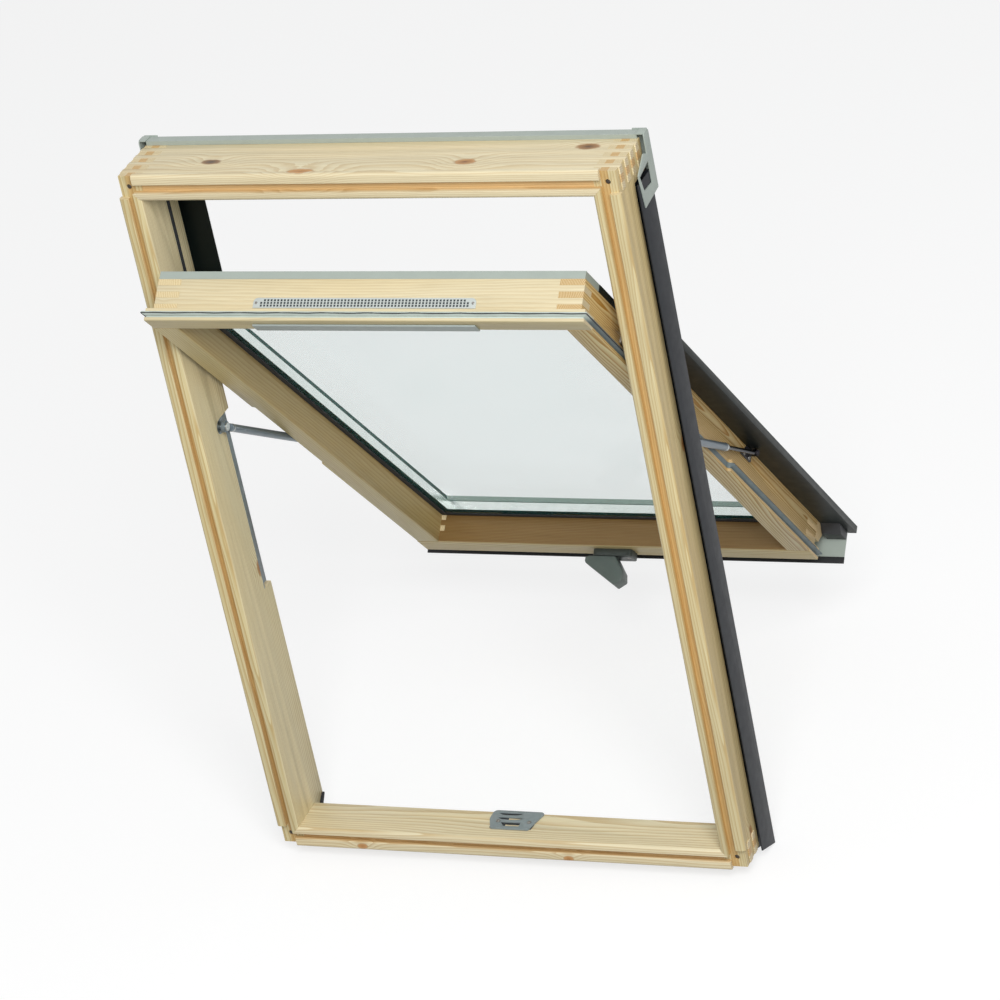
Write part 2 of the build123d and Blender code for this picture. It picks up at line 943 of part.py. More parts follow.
def sash_seal():
    """Sealing strip round the sash, mitred at the corners."""
    reach = seal_reach + 1
    left = sash_down(seal_outline(-sash_half, 1), -reach, sash_length + reach)
    inner = seal_groove_depth + 1
    wedge = [
        (-sash_half - reach, sash_top + reach),
        (-sash_half + inner, sash_top - inner),
        (-sash_half + inner, sash_top - sash_length + inner),
        (-sash_half - reach, sash_top - sash_length - reach),
    ]
    near = sash_face_depth
    far = sash_face_depth + lip_depth
    left = (left & along_depth(wedge, near, far)) - lip_notch()
    cap = [
        (-sash_half - reach, sash_top + reach),
        (-sash_half + inner, sash_top - inner),
        (sash_half - inner, sash_top - inner),
        (sash_half + reach, sash_top + reach),
    ]
    across = sash_across(seal_outline(0, 1), -sash_half - reach, sash_half + reach)
    top = across & along_depth(cap, near, far)
    lower = [(x, 2 * sash_top - sash_length - z) for x, z in cap]
    across = sash_across(seal_outline(sash_length, -1), -sash_half - reach, sash_half + reach)
    bottom = across & along_depth(lower, near, far)
    return left + mirrored(left) + top + bottom


def pane(start_t):
    corners = (start_t, start_t + pane_thickness)
    return sash_block((-glass_half, glass_half), (glass_top, glass_bottom), corners)


def rectangle_ring(outer_inset, inner_inset, t_range):
    """Flat ring between two insets from the glass edge."""
    outer = sash_block((-glass_half + outer_inset, glass_half - outer_inset),
                       (glass_top + outer_inset, glass_bottom - outer_inset), t_range)
    inner = sash_block((-glass_half + inner_inset, glass_half - inner_inset),
                       (glass_top + inner_inset, glass_bottom - inner_inset),
                       (t_range[0] - 1, t_range[1] + 1))
    return outer - inner


def pane_spacer():
    start = inner_pane_t + pane_thickness
    return rectangle_ring(spacer_inset, spacer_inset + spacer_width, (start, start + pane_gap))


def glazing_gasket():
    outer = -glass_clearance
    return rectangle_ring(outer, outer + gasket_width, (glass_seat, glass_seat + gasket_thickness))


def setting_blocks():
    """Supports under the glass."""
    start = glass_bottom
    blocks = []
    for x in (-glass_half / 2, glass_half / 2):
        blocks.append(sash_block((x - block_length / 2, x + block_length / 2),
                                 (start, start + glass_clearance), (inner_pane_t, glass_outer_t)))
    return blocks


def cover_inner():
    """Inset at which the side covers end over the glass."""
    return stile_face + glass_overlap


def sash_top_casing():
    """Light casing over the top edge of the glass, closed at both ends."""
    inner = top_casing_end
    path = [(top_lip, sash_depth), (top_lip, cover_t), (inner, cover_t), (inner, glass_outer_t)]
    half = body_half - 1
    casing = sash_across(sheet_outline(path, -sheet), -half, half)
    for side in (-1, 1):
        low, high = sorted((side * half, side * (half - sheet)))
        casing += sash_block((low, high), (top_lip, inner), (sash_depth, cover_t))
    return casing


def sash_cover_upper_left():
    """Narrow cover of the glass edge above the hinge."""
    outer = sash_x(side_lip)
    inner = sash_x(cover_inner())
    path = [(outer, sash_depth), (outer, cover_t), (inner, cover_t), (inner, glass_outer_t)]
    outline = sheet_outline(path, -sheet)
    return sash_down(outline, top_casing_end, split_s - split_clearance, cuts=[(1, bend_cut)])


def sash_cover_lower_left():
    """Wide cover below the hinge, which closes over the frame's stile."""
    wall = sash_x(side_lip)
    outer = sash_x(-side_overhang)
    inner = sash_x(cover_inner())
    path = [
        (wall + 12, sash_depth),
        (outer, sash_depth),
        (outer, cover_t),
        (inner, cover_t),
        (inner, glass_outer_t),
    ]
    outline = sheet_outline(path, -sheet)
    return sash_down(outline, split_s + split_clearance, sash_length + side_cover_tail,
                     cuts=[(1, bend_cut), (2, bend_cut)])


def sash_bottom_cover():
    """Plate over the lower edge of the glass with the apron that closes before the frame."""
    inner = sash_x(cover_inner()) + 0.5
    start = sash_length - bottom_face - glass_overlap
    apron = sash_length + apron_distance
    path = [(start, glass_outer_t), (start, cover_t), (apron, cover_t), (apron, apron_lower)]
    plate = sash_across(sheet_outline(path, -sheet), inner, -inner)
    low = (apron - sheet, apron)
    plate += sash_block((-apron_half_width, apron_half_width), low, (apron_lower, sash_depth - 0.5))
    return plate


def apron_seal():
    """Rubber edge of the apron."""
    apron = sash_length + apron_distance
    lower = apron_lower - 11
    corners = [(apron - 2.6, lower), (apron + 0.4, lower), (apron + 0.4, apron_lower),
               (apron - 2.6, apron_lower)]
    return sash_across(corners, -apron_half_width, apron_half_width, cuts=[(0, 0.8), (1, 0.8)])


def sash_corner_cap_left():
    """Moulded block in the corner between the side cover and the apron."""
    out = -apron_half_width
    inner = sash_x(side_lip)
    apron = sash_length + apron_distance - sheet
    outline = [
        (apron - corner_cap_length, sash_depth),
        (apron - corner_cap_length + corner_cap_drop, sash_depth - corner_cap_drop),
        (apron, sash_depth - corner_cap_drop),
        (apron, sash_depth),
    ]
    return sash_across(outline, out, inner - 0.5)


def strut_plate_left():
    """Angle in the stile's notch with the round pad of the strut's pin."""
    inner = x_at(member_width)
    face = inner - strut_plate_thickness
    foot = block((x_at(member_width - notch_width), inner),
                 (notch_depth, notch_depth + strut_plate_thickness), (notch_bottom, notch_top))
    leg = block((face, inner), (notch_depth, notch_depth + strut_leg_height),
                (notch_bottom + strut_leg_end, notch_top))
    pad = strut_pad(strut_pad_radius, member_width - strut_plate_thickness, member_width)
    web = block((face, inner), (strut_pivot_depth, notch_depth + 1),
                (strut_pivot_height - strut_pad_radius, notch_top))
    return foot + leg + pad + web


def strut_pins():
    """Pins of the struts, set through their plates."""
    top = strut_x_inset + eye_thickness / 2 + running_clearance
    left = strut_pad(pin_radius, member_width - strut_plate_thickness, top)
    left += strut_pad(pin_head_radius, top, top + pin_head_height)
    return [left, mirrored(left)]


def frame_strut_plate_left():
    return strut_plate_left() - strut_pad(pin_radius, 0, member_width + 1)


def opened_point(s, t):
    """Depth and height in the open place of a sash point."""
    depth, z = closed_point(s, t)
    turn = math.radians(open_angle)
    dy = depth - pivot_depth
    dz = z - pivot_height
    return (pivot_depth + dy * math.cos(turn) - dz * math.sin(turn),
            pivot_height + dy * math.sin(turn) + dz * math.cos(turn))


def strut_frame():
    """Plane at the left strut's pin, with Z towards the stud and X across the window."""
    depth, z = opened_point(stud_s, stud_t)
    run = (0, depth - strut_pivot_depth, z - strut_pivot_height)
    origin = (x_at(strut_x_inset), y_at(strut_pivot_depth), strut_pivot_height)
    return Plane(origin, x_dir=(1, 0, 0), z_dir=run)


def strut_length():
    depth, z = opened_point(stud_s, stud_t)
    return math.hypot(depth - strut_pivot_depth, z - strut_pivot_height)


def bar_between(radius, low, high):
    return Pos(0, 0, (low + high) / 2) * Cylinder(radius, high - low)


def strut_cylinder_left():
    """Pressure tube of the gas strut, bored for its rod, with the flat eye of its pin."""
    floor = cylinder_neck + cylinder_cap
    tube = bar_between(cylinder_radius, cylinder_neck, cylinder_length)
    tube -= bar_between(cylinder_bore, floor, cylinder_length - guide_length)
    tube -= bar_between(rod_radius + running_clearance, floor, cylinder_length + 1)
    eye = Rot(0, 90, 0) * Cylinder(eye_radius, eye_thickness)
    shank = Pos(0, 0, cylinder_neck / 2) * Box(eye_thickness, 2 * cylinder_radius - 2, cylinder_neck + 2)
    bore = Rot(0, 90, 0) * Cylinder(pin_radius + running_clearance, eye_thickness + 2)
    return strut_frame() * (tube + eye + shank - bore)


def strut_rod_left():
    """Rod of the gas strut with its piston and the hook that clips on the stud."""
    length = strut_length()
    inner_end = length - rod_length
    rod = bar_between(rod_radius, inner_end, length - hook_radius + 1)
    rod += bar_between(cylinder_bore - piston_clearance, inner_end, inner_end + piston_length)
    across = Pos(0, 0, length) * Rot(0, 90, 0)
    rod += across * Cylinder(hook_radius, 2 * rod_radius)
    return strut_frame() * (rod - across * hook_opening())


def hook_opening():
    """Seat of the stud and the mouth on the side from which it enters; cuts across the hook."""
    reach = hook_radius + 2
    seat = stud_radius + running_clearance
    mouth = [(0, -seat), (reach, -hook_mouth), (reach, hook_mouth), (0, seat)]
    opening = Circle(seat) + Rot(0, 0, hook_mouth_turn - 90) * face_of(mouth)
    return extrude(opening, amount=rod_radius + 1, both=True)


def strut_bracket_left():
    """Bracket on the sash's side with the stud of the strut."""
    face = sash_x(side_lip)
    plate_x = face - bracket_thickness
    far = sash_depth - 0.5
    outline = [
        (stud_s - bracket_lead, bracket_near),
        (stud_s + bracket_tail, bracket_near),
        (stud_s + bracket_tail, far),
        (stud_s - bracket_step, far),
    ]
    plate = sash_across(outline, plate_x, face, cuts=[(1, bracket_cut), (2, bracket_cut)])
    for s, t in strut_bracket_screw_places():
        plate -= side_hole(*closed_point(s, t), plate_x, bracket_thickness)
    return plate + headed_stud(plate_x)


def headed_stud(plate_x):
    """Turned stud on the bracket's plate with its head beyond the strut's hook."""
    depth, z = closed_point(stud_s, stud_t)
    length = plate_x - x_at(strut_x_inset)
    seat = -rod_radius - stud_head_gap
    profile = [
        (0, seat - stud_head_height),
        (stud_head_radius, seat - stud_head_height),
        (stud_head_radius, seat),
        (stud_radius, seat),
        (stud_radius, length + bracket_thickness / 2),
        (0, length + bracket_thickness / 2),
    ]
    stud = revolve(face_of(profile), axis=Axis.Y)
    place = Plane((x_at(strut_x_inset), y_at(depth), z), x_dir=(0, 1, 0), z_dir=(0, 0, 1))
    return place * (Rot(0, 0, 180) * stud)


def strut_bracket_screw_places():
    return [(stud_s - bracket_screw_pitch, bracket_screw_t), (stud_s, bracket_screw_t)]


def strut_bracket_screws():
    plate_x = sash_x(side_lip) - bracket_thickness
    screws = []
    for s, t in strut_bracket_screw_places():
        depth, z = closed_point(s, t)
        screw = side_screw(depth, z, plate_x, 1, bracket_screw_length)
        screws += [screw, mirrored(screw)]
    return screws


def vent_duct():
    """Air path from the grille on the top face down to the room face."""
    half = vent_length / 2 - duct_margin
    middle = (vent_front + vent_back) / 2
    upright = sash_block((-half, half), (top_lip - 1, top_face - duct_wall),
                         (middle - duct_width / 2, middle + duct_width / 2))
    level = sash_block((-half, half), (flap_edge - flap_height + duct_mouth, top_face - duct_wall),
                       (-1, middle + duct_width / 2))
    return upright + level


def vent_grille():
    """Slotted plate with round-cornered ends on the sash's top face."""
    half = vent_length / 2
    face = sash_top - top_lip
    near = sash_face_depth + vent_front
    far = sash_face_depth + vent_back
    outline = [(-half, near), (half, near), (half, far), (-half, far)]
    round_radius = (vent_back - vent_front) * 0.45
    plate = along_z(outline, face, face + vent_plate, [(2, round_radius), (3, round_radius)])
    pitch = (vent_length - 2 * vent_margin) / vent_columns
    row_pitch = (vent_back - vent_front - 3) / vent_rows
    slots = []
    for row in range(vent_rows):
        y = y_at(near + 1.5 + (row + 0.5) * row_pitch)
        for column in range(vent_columns):
            x = -half + vent_margin + (column + 0.5) * pitch
            slots.append(Pos(x, y) * Rectangle(vent_slot_width, vent_slot_height))
    cutter = extrude(Sketch(children=slots), amount=vent_plate + 2, dir=(0, 0, 1))
    plate -= Pos(0, 0, face - 1) * cutter
    for seat in vent_screw_seats():
        plate -= seat * screw_body(vent_screw_radius, -vent_plate - 1, 1)
    return plate


def vent_screw_seats():
    """Places of the grille's two screws on its outer face."""
    height = sash_top - top_lip + vent_plate
    middle = y_at(sash_face_depth + (vent_front + vent_back) / 2)
    reach = vent_length / 2 - vent_margin / 2
    return [Pos(x, middle, height) for x in (-reach, reach)]


def vent_screws():
    screw = screw_body(vent_screw_radius, -vent_screw_length, 0)
    screw += screw_body(2 * vent_screw_radius, 0, 0.8)
    return [seat * screw for seat in vent_screw_seats()]


def vent_flap():
    """Flap over the vent's mouth on the room face; it turns about the middle of its round edge."""
    half = vent_length / 2
    outer = -flap_gap - flap_thickness
    corners = [
        (flap_edge - flap_height, outer),
        (flap_edge, outer),
        (flap_edge, -flap_gap),
        (flap_edge - flap_height, -flap_gap),
    ]
    bead = flap_thickness / 2 - 0.01
    return sash_across(corners, -half, half, [(0, flap_thickness / 2), (1, bead), (2, bead)])


def handle_centre_s():
    return sash_length - handle_base_edge - handle_base_height / 2


def handle_base():
    """Base plate of the handle on the room face of the bottom rail, with the bolt's channel."""
    half = handle_base_length / 2
    centre = handle_centre_s()
    low = sash_top - centre - handle_base_height / 2
    high = low + handle_base_height
    corners = [(-half, low), (half, low), (half, high), (-half, high)]
    near = sash_face_depth - handle_base_thickness
    rounds = [(0, handle_base_round), (3, handle_base_round)]
    cuts = [(1, handle_base_cut), (2, handle_base_cut)]
    base = along_depth(corners, near, sash_face_depth, rounds, cuts)
    slot = bolt_width / 2 + bolt_gap
    base -= sash_block((handle_x - slot, handle_x + slot),
                       (centre - bolt_inner_end - bolt_gap, sash_length + 1),
                       (-bolt_thickness - bolt_gap, 1))
    base -= rod_along_depth(handle_x, sash_top - centre, handle_bore, near - 1,
                            sash_face_depth - bolt_thickness - 1)
    return base - handle_screws()


def handle_screw_places():
    reach = handle_base_length / 2 - handle_screw_inset
    return [-reach, reach]


def handle_screws():
    z = sash_top - handle_centre_s()
    seat = sash_face_depth - handle_base_thickness + pan_head_height
    return [screw_into_roof(x, z, seat, handle_screw_length) for x in handle_screw_places()]


def latch_bolt():
    """Flat bolt behind the base, which the handle drives down into the striker."""
    centre = handle_centre_s()
    return sash_block((handle_x - bolt_width / 2, handle_x + bolt_width / 2),
                      (centre - bolt_inner_end, sash_length - 0.5), (-bolt_thickness, -bolt_gap))


def handle_lever():
    """One-piece handle: spindle, wedge-shaped neck and slanting grip."""
    centre = handle_centre_s()
    top = -handle_base_thickness - 0.5
    z = sash_top - centre
    spindle = rod_along_depth(handle_x, z, handle_bore - spindle_clearance,
                              sash_face_depth + top, sash_face_depth - bolt_thickness - 1.5)
    left = handle_x - grip_offset
    right = left + grip_length
    outline = [
        (left, top - grip_near),
        (left + 6, top),
        (right - 18, top),
        (right - 2, top - grip_rise + 14),
        (right, top - grip_rise),
        (right - 14, top - grip_rise - grip_thickness + 2),
        (left, top - grip_near - 8),
    ]
    moved = [(x, sash_face_depth + t) for x, t in outline]
    grip = along_z(moved, z - grip_height / 2, z + grip_height / 2, cuts=[(6, 2.0), (5, 1.4), (4, 1.4)])
    return spindle + grip


def striker_outline(extra):
    """Outline in (x, depth) of the striker, its room-side corners cut off."""
    half = striker_long / 2 + extra
    short = striker_short / 2 + extra
    near = striker_front - extra
    far = striker_back + extra
    cut = far - striker_corner
    return [(-short, near), (short, near), (half, cut), (half, far), (-half, far), (-half, cut)]


def striker_slot_depths():
    """Depths of the bolt's two catches: closed, and ajar for airing."""
    closed = sash_face_depth - bolt_thickness / 2
    return [closed, closed + airing_step]


def striker_plate():
    top = member_width + striker_thickness
    plate = along_z(striker_outline(0), member_width, top)
    for depth in striker_slot_depths():
        half = bolt_width / 2 + slot_clearance
        reach = bolt_thickness / 2 + slot_clearance
        plate -= block((-half, half), (depth - reach, depth + reach), (member_width - 1, top + 1))
    hole = screw_body(screw_radius + plate_hole_clearance, -striker_thickness - 1, 1)
    for seat in striker_screw_seats():
        plate -= seat * hole
    return plate


def striker_screw_seats():
    """Places of the striker's two screws on its top face."""
    top = member_width + striker_thickness
    depth = (striker_slot_depths()[0] + striker_slot_depths()[1]) / 2
    reach = bolt_width / 2 + striker_screw_reach
    return [Pos(x, y_at(depth), top) for x in (-reach, reach)]


def striker_screws():
    return [seat * screw_shape(striker_screw_length, pan_head_radius) for seat in striker_screw_seats()]


def bolt_pocket():
    """Pockets in the bottom rail under the striker's slots."""
    half = bolt_width / 2 + slot_clearance
    reach = bolt_thickness / 2 + slot_clearance
    floor = member_width - (bolt_travel - sash_bottom_gap) - bolt_pocket_clearance
    return [block((-half, half), (depth - reach, depth + reach), (floor, member_width + 1))
            for depth in striker_slot_depths()]


def with_pair(name, solid):
    """Left piece and its mirror image."""
    return {name + "_left": solid, name + "_right": mirrored(solid)}


def frame_nodes():
    nodes = {
        "frame_top_rail": frame_top_rail(),
        "frame_bottom_rail": frame_bottom_rail(),
        "frame_corner_screws": frame_corner_screws(),
        "frame_top_casing": frame_top_casing(),
        "bottom_cladding": bottom_cladding(),
        "frame_seals": frame_seals(),
        "frame_hinge_screws": frame_hinge_screws(),
        "strut_pins": strut_pins(),
        "striker_plate": striker_plate(),
        "striker_screws": striker_screws(),
    }
    nodes |= with_pair("frame_stile", frame_stile_left())
    nodes |= with_pair("side_cladding", side_cladding_left())
    nodes |= with_pair("upper_cover", upper_cover_left())
    nodes |= with_pair("casing_corner", casing_corner_left())
    nodes |= with_pair("hinge_plate", hinge_plate_left())
    nodes |= with_pair("strut_plate", frame_strut_plate_left())
    return nodes


def sash_nodes():
    nodes = {
        "sash_top_rail": sash_top_rail(),
        "sash_bottom_rail": sash_bottom_rail(),
        "sash_seal": sash_seal(),
        "pane_inner": pane(inner_pane_t),
        "pane_outer": pane(outer_pane_t),
        "pane_spacer": pane_spacer(),
        "glazing_gasket": glazing_gasket(),
        "setting_blocks": setting_blocks(),
        "sash_top_casing": sash_top_casing(),
        "sash_bottom_cover": sash_bottom_cover(),
        "apron_seal": apron_seal(),
        "sash_hinge_screws": sash_hinge_screws(),
        "strut_bracket_screws": strut_bracket_screws(),
        "vent_grille": vent_grille(),
        "vent_screws": vent_screws(),
        "vent_flap": vent_flap(),
        "handle_base": handle_base(),
        "handle_screws": handle_screws(),
        "handle_lever": handle_lever(),
        "latch_bolt": latch_bolt(),
    }
    nodes |= with_pair("sash_stile", sash_stile_left())
    nodes |= with_pair("sash_cover_upper", sash_cover_upper_left())
    nodes |= with_pair("sash_cover_lower", sash_cover_lower_left())
    nodes |= with_pair("sash_corner_cap", sash_corner_cap_left())
    nodes |= with_pair("sash_hinge", sash_hinge_left())
    nodes |= with_pair("strut_bracket", strut_bracket_left())
    return nodes


def strut_nodes():
    nodes = with_pair("strut_cylinder", strut_cylinder_left())
    nodes |= with_pair("strut_rod", strut_rod_left())
    return nodes


def solids_of(piece):
    """Solids of a node, which is one piece or a list of them."""
    pieces = piece if isinstance(piece, list) else [piece]
    return [solid for part in pieces for solid in part.solids()]


def main():
    os.makedirs("parts", exist_ok=True)
    nodes = {name: solids_of(piece) for name, piece in (frame_nodes() | strut_nodes()).items()}
    for name, piece in sash_nodes().items():
        nodes[name] = [opened(solid) for solid in solids_of(piece)]
    for name, solids in nodes.items():
        export_step(Compound(solids), f"parts/{name}.step")


main()
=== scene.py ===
"""Looks of a pine roof window with its frame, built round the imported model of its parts."""

import json
import math

import bmesh
import bpy
import numpy as np
from bpy.props import FloatProperty, FloatVectorProperty, IntProperty, PointerProperty
from mathutils import Matrix, Vector


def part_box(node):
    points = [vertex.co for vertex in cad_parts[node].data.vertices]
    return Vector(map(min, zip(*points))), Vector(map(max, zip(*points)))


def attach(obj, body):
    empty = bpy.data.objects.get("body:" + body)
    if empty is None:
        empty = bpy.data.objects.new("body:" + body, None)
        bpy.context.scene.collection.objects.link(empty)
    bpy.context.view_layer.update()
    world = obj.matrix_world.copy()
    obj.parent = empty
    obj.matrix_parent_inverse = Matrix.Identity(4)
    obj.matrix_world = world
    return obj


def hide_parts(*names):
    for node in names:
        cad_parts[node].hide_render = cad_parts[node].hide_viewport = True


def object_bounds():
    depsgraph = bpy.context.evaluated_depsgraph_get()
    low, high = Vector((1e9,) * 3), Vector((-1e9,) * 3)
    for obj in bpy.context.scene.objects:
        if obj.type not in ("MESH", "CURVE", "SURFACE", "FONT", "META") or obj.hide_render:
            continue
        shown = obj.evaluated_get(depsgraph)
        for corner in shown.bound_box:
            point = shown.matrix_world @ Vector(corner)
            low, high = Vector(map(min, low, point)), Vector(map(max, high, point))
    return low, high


bl_info = {
    "name": "Pine Roof Window Looks",
    "version": (1, 0, 0),
    "blender": (4, 5, 0),
    "location": "3D View > Sidebar > Roof Window",
    "description": "Dresses the parts of a pine roof window in wood, sheet, rubber and glass",
    "category": "Object",
}

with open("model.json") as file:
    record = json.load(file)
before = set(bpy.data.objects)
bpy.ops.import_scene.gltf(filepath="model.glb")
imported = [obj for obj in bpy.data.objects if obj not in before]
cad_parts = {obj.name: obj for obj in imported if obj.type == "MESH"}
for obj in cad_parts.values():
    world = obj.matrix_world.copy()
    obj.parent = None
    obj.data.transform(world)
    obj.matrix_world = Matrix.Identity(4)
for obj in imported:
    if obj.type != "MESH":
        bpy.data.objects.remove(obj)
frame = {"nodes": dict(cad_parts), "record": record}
cad_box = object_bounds()

MM = 0.001
BODIES = frame["record"]["behaviour"]["bodies"]
BODY_OF = {node: body for body, nodes in BODIES.items() for node in nodes}
JOINTS = {row["name"]: row for row in frame["record"]["behaviour"]["joints"]}

# The sash is drawn closed and turned to the open place about the hinge track's axis.
PIVOT = Vector(JOINTS["sash_pivot"]["pos_m"])
OPEN_ANGLE = math.radians(-JOINTS["sash_pivot"]["range_deg"][0])
SASH_POSE = Matrix.Translation(PIVOT) @ Matrix.Rotation(OPEN_ANGLE, 4, "X") @ Matrix.Translation(-PIVOT)

# Height of the closed sash's top edge and place of its room face, in millimetres.
SASH_TOP = 1138.5
FACE_Y = -27.0

# Directions across the window, through its depth and up the slope; the last two also for the open sash.
ACROSS = Vector((1, 0, 0))
THROUGH = Vector((0, 1, 0))
UP = Vector((0, 0, 1))
SASH_THROUGH = SASH_POSE.to_3x3() @ THROUGH
SASH_UP = SASH_POSE.to_3x3() @ UP

# Place of the photograph's camera in the part's frame, and how it is turned.
CAMERA_PLACE = Vector((2.56758, -5.02995, 3.65027))
CAMERA_TURN = Vector((2.07695090, 0.259591776, -0.409141126))
CAMERA_LENS = 154.285

# How fine things are in the wood, across, through and along its grain.
FIBRE_SCALE = (900.0, 900.0, 14.0)
DRIFT_SCALE = (7.0, 7.0, 1.4)
WAVE_SCALE = (9.0, 9.0, 1.6)
KNOT_SCALE = (160.0, 160.0, 90.0)

# Places in metres: how far across a knot's heart lies, and the depths where the painted shade
# in the front groove starts and is full.
KNOT_ACROSS = 0.018
GROOVE_SHADE_START = -0.0615
GROOVE_SHADE_FULL = -0.056

# Edges that turn by more than this are rounded, and shading breaks above the second, in degrees.
SHARP_EDGE = 28.0
SMOOTH_BELOW = 26.0
SAME_POINT = 1e-6


def sash_point(x, s, t):
    """Point of the closed sash, in metres: s down from its top edge, t out from its room face."""
    return Vector((x * MM, (FACE_Y + t) * MM, (SASH_TOP - s) * MM))


# Materials

class Graph:
    """A material and short ways to add and join its nodes."""

    def __init__(self, name):
        self.material = bpy.data.materials.new(name)
        self.material.use_nodes = True
        self.tree = self.material.node_tree
        self.tree.nodes.clear()
        self.output = self.add("ShaderNodeOutputMaterial")
        self.shader = self.add("ShaderNodeBsdfPrincipled")
        self.join(self.shader.outputs[0], self.output.inputs[0])

    def add(self, kind, **settings):
        node = self.tree.nodes.new(kind)
        for key, value in settings.items():
            setattr(node, key, value)
        return node

    def join(self, source, target):
        self.tree.links.new(source, target)

    def feed(self, socket, value):
        if isinstance(value, bpy.types.NodeSocket):
            self.join(value, socket)
        else:
            socket.default_value = value

    def maths(self, operation, first, second=0.0, third=0.0):
        node = self.add("ShaderNodeMath", operation=operation)
        for socket, value in zip(node.inputs, (first, second, third)):
            self.feed(socket, value)
        return node.outputs[0]

    def vector(self, operation, first, second=(0.0, 0.0, 0.0)):
        node = self.add("ShaderNodeVectorMath", operation=operation)
        self.feed(node.inputs[0], first)
        self.feed(node.inputs[1], second)
        return node.outputs["Value"] if operation in ("DOT_PRODUCT", "LENGTH") else node.outputs[0]

    def place(self):
        return self.add("ShaderNodeTexCoord").outputs["Object"]

    def noise(self, vector, scale=1.0, detail=2.0, roughness=0.5):
        node = self.add("ShaderNodeTexNoise")
        self.feed(node.inputs["Vector"], vector)
        node.inputs["Scale"].default_value = scale
        node.inputs["Detail"].default_value = detail
        node.inputs["Roughness"].default_value = roughness
        return node.outputs[0]

    def ramp(self, factor, stops):
        node = self.add("ShaderNodeValToRGB")
        band = node.color_ramp
        while len(band.elements) < len(stops):
            band.elements.new(0.5)
        for element, (place, colour) in zip(band.elements, stops):
            element.position = place
            element.color = (*colour, 1.0)
        self.feed(node.inputs[0], factor)
        return node.outputs[0]

    def mix(self, factor, first, second, blend="MIX"):
        node = self.add("ShaderNodeMix", data_type="RGBA", blend_type=blend)
        self.feed(node.inputs[0], factor)
        for socket, value in ((node.inputs[6], first), (node.inputs[7], second)):
            self.feed(socket, (*value, 1.0) if isinstance(value, tuple) and len(value) == 3 else value)
        return node.outputs[2]

    def span(self, value, low, high, new_low, new_high, kind="LINEAR"):
        node = self.add("ShaderNodeMapRange", interpolation_type=kind)
        for socket, setting in zip(node.inputs, (value, low, high, new_low, new_high)):
            self.feed(socket, setting)
        return node.outputs[0]

    def coat(self, colour, tone):
        """Base colour whose brightness follows a tone."""
        scaled = self.vector("SCALE", tuple(colour))
        self.join(tone, scaled.node.inputs["Scale"])
        self.join(scaled, self.shader.inputs["Base Color"])

    def bump(self, height, distance, strength=1.0):
        node = self.add("ShaderNodeBump")
        node.inputs["Strength"].default_value = strength
        node.inputs["Distance"].default_value = distance
        self.feed(node.inputs["Height"], height)
        self.join(node.outputs[0], self.shader.inputs["Normal"])


def swell_round_knots(g, grown, radius, knots):
    """Ring radius that swells round each knot, with the knots' mask and colour."""
    mask = None
    heart = None
    for knot in knots:
        side, along, size, dark = knot[:4]
        on_through = len(knot) > 4
        centre = (side, 0.0, along) if on_through else (KNOT_ACROSS, side, along)
        shape = (1.0, 0.06, 0.62) if on_through else (0.6, 1.0, 0.5)
        away = g.vector("LENGTH", g.vector("MULTIPLY", g.vector("SUBTRACT", grown, centre), shape))
        away = g.maths("DIVIDE", away, size)
        rough = g.noise(g.vector("MULTIPLY", grown, KNOT_SCALE), 1.0, 2.0)
        away = g.maths("MULTIPLY_ADD", g.maths("SUBTRACT", rough, 0.5), 0.45, away)
        swell = g.maths("POWER", 2.718, g.maths("MULTIPLY", g.maths("MULTIPLY", away, away), -0.16))
        radius = g.maths("MULTIPLY_ADD", swell, size * 1.3, radius)
        inside = g.span(away, 0.75, 1.1, 1.0, 0.0, "SMOOTHSTEP")
        core = g.ramp(away, ((0.0, (0.16 - 0.12 * dark, 0.06 - 0.04 * dark, 0.02)),
                             (0.3, (0.42 - 0.3 * dark, 0.20 - 0.13 * dark, 0.06 - 0.03 * dark)),
                             (0.8, (0.58 - 0.3 * dark, 0.31 - 0.16 * dark, 0.12 - 0.06 * dark)),
                             (1.0, (0.30, 0.14, 0.05))))
        heart = core if mask is None else g.mix(inside, heart, core)
        mask = inside if mask is None else g.maths("MAXIMUM", mask, inside)
    return radius, mask, heart


